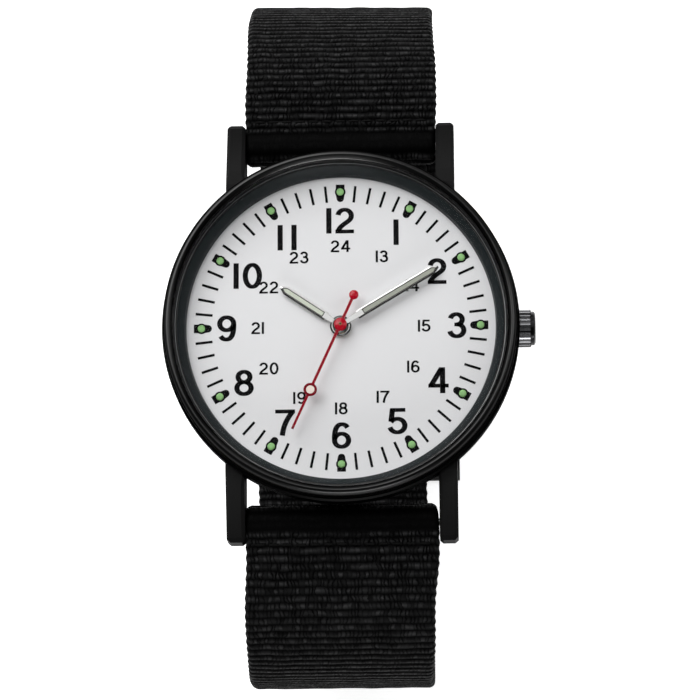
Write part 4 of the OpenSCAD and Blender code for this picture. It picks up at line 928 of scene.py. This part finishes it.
# %% Cut the holes and seal their rims
HOLE_R, HOLE_PITCH, HOLE_Y = 1.2, 6.5, 4.99


def off_line(pose, along, up):
    """y and z of a place along the heading of a pose and up from it."""
    y, z, heading = pose[:3]
    c, s = math.cos(math.radians(heading)), math.sin(math.radians(heading))
    return y + along * c - up * s, z + along * s + up * c


def rings(name, profile, poses):
    """One mesh of the same closed profile of (radius, height), turned round the webbing's normal
    at each pose (y, z, heading, x) of the long half."""
    a = np.linspace(0, 2 * np.pi, 32, endpoint=False)[:, None]
    r, up = np.array(profile).T
    up = up + 0 * a
    points, faces = [], []
    for k, pose in enumerate(poses):
        y, z = off_line(pose, r * np.sin(a), up)
        points.append(np.stack([pose[3] + r * np.cos(a), -y, z], -1).reshape(-1, 3))
        faces += quads(*up.shape, loop=True, first=k * up.size)
    return make_mesh(name, np.concatenate(points), faces)


def pierce(piece, cutter):
    """The piece's own mesh with the cutter taken away."""
    cut = piece.modifiers.new("cut", "BOOLEAN")
    cut.operation, cut.object, cut.solver = "DIFFERENCE", cutter, "EXACT"
    bpy.context.view_layer.update()
    ready = piece.evaluated_get(bpy.context.evaluated_depsgraph_get())
    piece.data = bpy.data.meshes.new_from_object(ready)
    piece.modifiers.clear()
    bpy.data.objects.remove(cutter)


marks = [sole[3] + sole[0] + HOLE_Y + i * HOLE_PITCH for i in range(-2, 5)]
holes = [[*pose_on(low_full, low_bar, s), float(follow(LOW_PLAN, s)[1])]
         for s in marks if s < distances(low_line)[-1] - 5]
punch = rings("punch", [(0.0, -2), (HOLE_R, -2), (HOLE_R, 2), (0.0, 2)], holes)
settle(punch, webbing, "watch", "nylon_webbing")
pierce(strap_low, punch)
settle(strap_up, webbing, "watch", "nylon_webbing", "strap_upper", smooth=50, weld=False)
settle(strap_low, webbing, "watch", "nylon_webbing", "strap_lower", smooth=50, weld=False)
rim = [(HOLE_R - 0.03, -0.6), (HOLE_R + 0.25, -0.66), (HOLE_R + 0.3, -0.5), (HOLE_R + 0.1, 0.0),
       (HOLE_R + 0.3, 0.5), (HOLE_R + 0.25, 0.66), (HOLE_R - 0.03, 0.6), (HOLE_R - 0.08, 0.0)]
settle(rings("hole_rims", rim, holes), PAINTS["melted_nylon"], "watch", "nylon_webbing", smooth=60)
print("holes:", len(holes), "webbing faces now:", len(strap_low.data.polygons))

# %% [markdown]
# ## Keepers
#
# Two bands hold the tail down. Each is a short strip of the same webbing wrapped round both
# layers, so its ribs run from edge to edge of the band. The path is a rectangle with round
# corners, the section a thin flat oval.

# %% Woven bands
BAND_T = 1.2


def round_rectangle(w, h, r):
    """Points, outward directions and distances along a rectangle w x h with corner radius r,
    from the middle of its top."""
    half_top, corner, upright = (w / 2 - r, 0), (r, 90), (h - 2 * r, 0)
    line = walk((0.0, h / 2, 0.0), [half_top, corner, upright, corner, (w - 2 * r, 0), corner,
                                    upright, corner, half_top], 0.4)[:-1]
    a = np.radians(line[:, 2])
    return line[:, :2], np.column_stack([-np.sin(a), np.cos(a)]), distances(line)


def band(name, node, seed):
    """Woven band that fills the box of a keeper node."""
    low, high = (np.array(c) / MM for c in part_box(node))
    path, out, s = round_rectangle(high[0] - low[0] - BAND_T, high[2] - low[2] - BAND_T, 0.85)
    section = flat_section(high[1] - low[1], BAND_T, n=12)
    ribs = (np.abs(np.sin(np.pi * s / RIB)) ** 0.7 - 1) * 0.08
    up = section[:, 1] + section[:, 2] * ribs[:, None]
    x = path[:, :1] + out[:, :1] * up
    z = path[:, 1:] + out[:, 1:] * up + (low[2] + high[2]) / 2
    y = np.broadcast_to(section[:, 0] + (low[1] + high[1]) / 2, x.shape)
    uv = np.stack([np.broadcast_to(s[:, None] + seed, x.shape), y], -1).reshape(-1, 2)
    return make_mesh(name, np.stack([x, y, z], -1).reshape(-1, 3), quads(*x.shape, loop=True), uv)


for name, node, body, seed in (("keeper_sewn", "fixed_keeper", "watch", 0.0),
                               ("keeper_free", "sliding_keeper", "loose_keeper", 30.0)):
    settle(band(name, node, seed), webbing, body, "nylon_webbing", node, smooth=50, weld=False)
print("keepers woven")

# %% [markdown]
# ## Stitches
#
# Each fold is closed by a row of black thread through both layers. A stitch is a short bead of
# thread that dives into the webbing at both ends, so it is a thin tube along half an ellipse.

# %% Rows of thread
THREAD_R, STITCH_L = 0.11, 1.05


def stitch_row(line, bar_at, s, flip=1):
    """Outlines of small tubes across the strap at distance s, on the side that faces out. A tube
    rises over its length like half an ellipse."""
    t = np.linspace(-1, 1, 9)[:, None]
    ring = np.radians(np.arange(0, 360, 60))
    up = STRAP_T / 2 - 0.1 + 0.2 * np.sqrt(1 - (t * 0.98) ** 2) + THREAD_R * np.cos(ring)
    y, z = off_line(pose_on(line, bar_at, s), THREAD_R * np.sin(ring) + 0 * up, up)
    return [np.stack([x + STITCH_L / 2 * t + 0 * up, flip * y, z], -1)
            for x in np.linspace(-8.6, 8.6, 13)]


rows = stitch_row(up_full, up_bar, 2.3) + stitch_row(low_full, low_bar, 2.3, flip=-1)
rows += stitch_row(up_full, up_bar, distances(up_line)[-1] - 3.2)
settle(gather("stitches", rows), PAINTS["black_thread"], "watch", "nylon_webbing", smooth=60)
print("stitches:", len(rows))

# %% [markdown]
# ## Dressing the solids that stay
#
# The case, the movement and the small metal parts have the right shape already, so they keep
# their solids and only get a finish. Each node's object has its own material slots, and the
# new material goes into them.

# %% Finishes of the solids
WEARS = [
    (case_black, "case_middle"),
    (crown_black, "crown"),
    (buckle_black, "buckle_frame buckle_tongue"),
    (glass, "crystal"),
    (back_steel, "case_back"),
    (steel, "crown_tube stem clutch_wheel setting_lever yoke movement_screws battery quartz_can "
            "spring_bar_tubes spring_pin_upper_left spring_pin_upper_right spring_pin_lower_left "
            "spring_pin_lower_right spring_bar_springs buckle_bar"),
    (brass, "train_bridge battery_clamp fifth_wheel fourth_wheel third_wheel centre_wheel "
            "minute_wheel hour_wheel setting_wheel"),
    (iron, "coil_core stator rotor"),
    (copper, "coil_winding"),
] + [(PAINTS[paint], names) for paint, names in (
    ("black_rubber", "case_back_gasket crown_gasket"),
    ("dial_white", "dial"),
    ("hand_glow", "hour_hand_lume"),
    ("minute_glow", "minute_hand_lume"),
    ("red_lacquer", "second_hand"),
    ("cream_glow", "second_hand_lume"),
    ("holder_white", "movement_holder"),
    ("plate_dark", "main_plate"),
    ("resin_green", "circuit_board"),
    ("chip_black", "control_chip"),
)]
for finish, names in WEARS:
    for name in names.split():
        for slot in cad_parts[name].material_slots:
            slot.material = finish
print("solids in their own finish:", sum(len(names.split()) for _, names in WEARS))

# %% [markdown]
# ## Floor and light
#
# The photograph has a clean white ground and soft light from all round. A pale floor takes the
# shadow, and a glow that only the camera and reflections see lifts it to white without
# lighting the watch. Polished metal shows what it faces, so for each highlight the view
# direction is mirrored about the surface there, and a lamp stands at the end of that line: one
# above for the flats of the hands, a broad one for the dial, four strips for the lines round
# the bezel. An even world fills the rest.

# %% Studio
FLOOR_Z, FLOOR_HALF = -49.25, 3000.0
MAX = "Math", {"operation": "MAXIMUM"}


def pale_floor():
    """Diffuse floor, with a glow that only camera, glossy and transmission rays see."""
    f = Finish("studio_floor")
    camera_ray, gloss, through = (f.node("LightPath", None, out=f"Is {kind} Ray")
                                  for kind in ("Camera", "Glossy", "Transmission"))
    seen = f.node(*MAX, camera_ray, f.node(*MAX, gloss, through))
    glow = f.tones(seen, (0, 0, 0), (0.75, 0.75, 0.75))
    return f.close(Base_Color=(0.86, 0.86, 0.86, 1), Roughness=0.9, Emission_Color=glow,
                   Emission_Strength=1.0)


corners = np.array([[-1, -1], [1, -1], [1, 1], [-1, 1]]) * FLOOR_HALF
floor = make_mesh("floor", lift(corners, FLOOR_Z), [[0, 1, 2, 3]])
floor.data.materials.append(pale_floor())


# Rectangular lamps that face the dial: name, place, width and height in mm, power in watts
for name, place, width, height, power in (
    ("lamp_above", (-16, 92, 400), 200, 200, 0.15),
    ("lamp_over", (-150, 260, 300), 320, 320, 1.36),
    ("strip_left", (-235, 85, 290), 110, 300, 0.35),
    ("strip_top", (0, 390, 165), 520, 130, 0.27),
    ("strip_right", (250, 85, 275), 110, 300, 0.3),
    ("strip_low", (30, -390, 120), 280, 90, 0.6),
):
    data = bpy.data.lights.new(name, "AREA")
    data.shape, data.size, data.size_y, data.energy = "RECTANGLE", width * MM, height * MM, power
    lamp = bpy.data.objects.new(name, data)
    bpy.context.scene.collection.objects.link(lamp)
    lamp.location = Vector(place) * MM
    lamp.rotation_euler = (-Vector(place)).to_track_quat("-Z", "Y").to_euler()
f = Finish("studio", "worlds")
camera_ray = f.node("LightPath", None, out="Is Camera Ray")
sky = f.node("Background", None, (1, 1, 1, 1), f.node(*MAX, camera_ray, 0.035))
f.node("OutputWorld", None, sky)
bpy.context.scene.world = f.data
bpy.context.scene.view_settings.view_transform = "Standard"
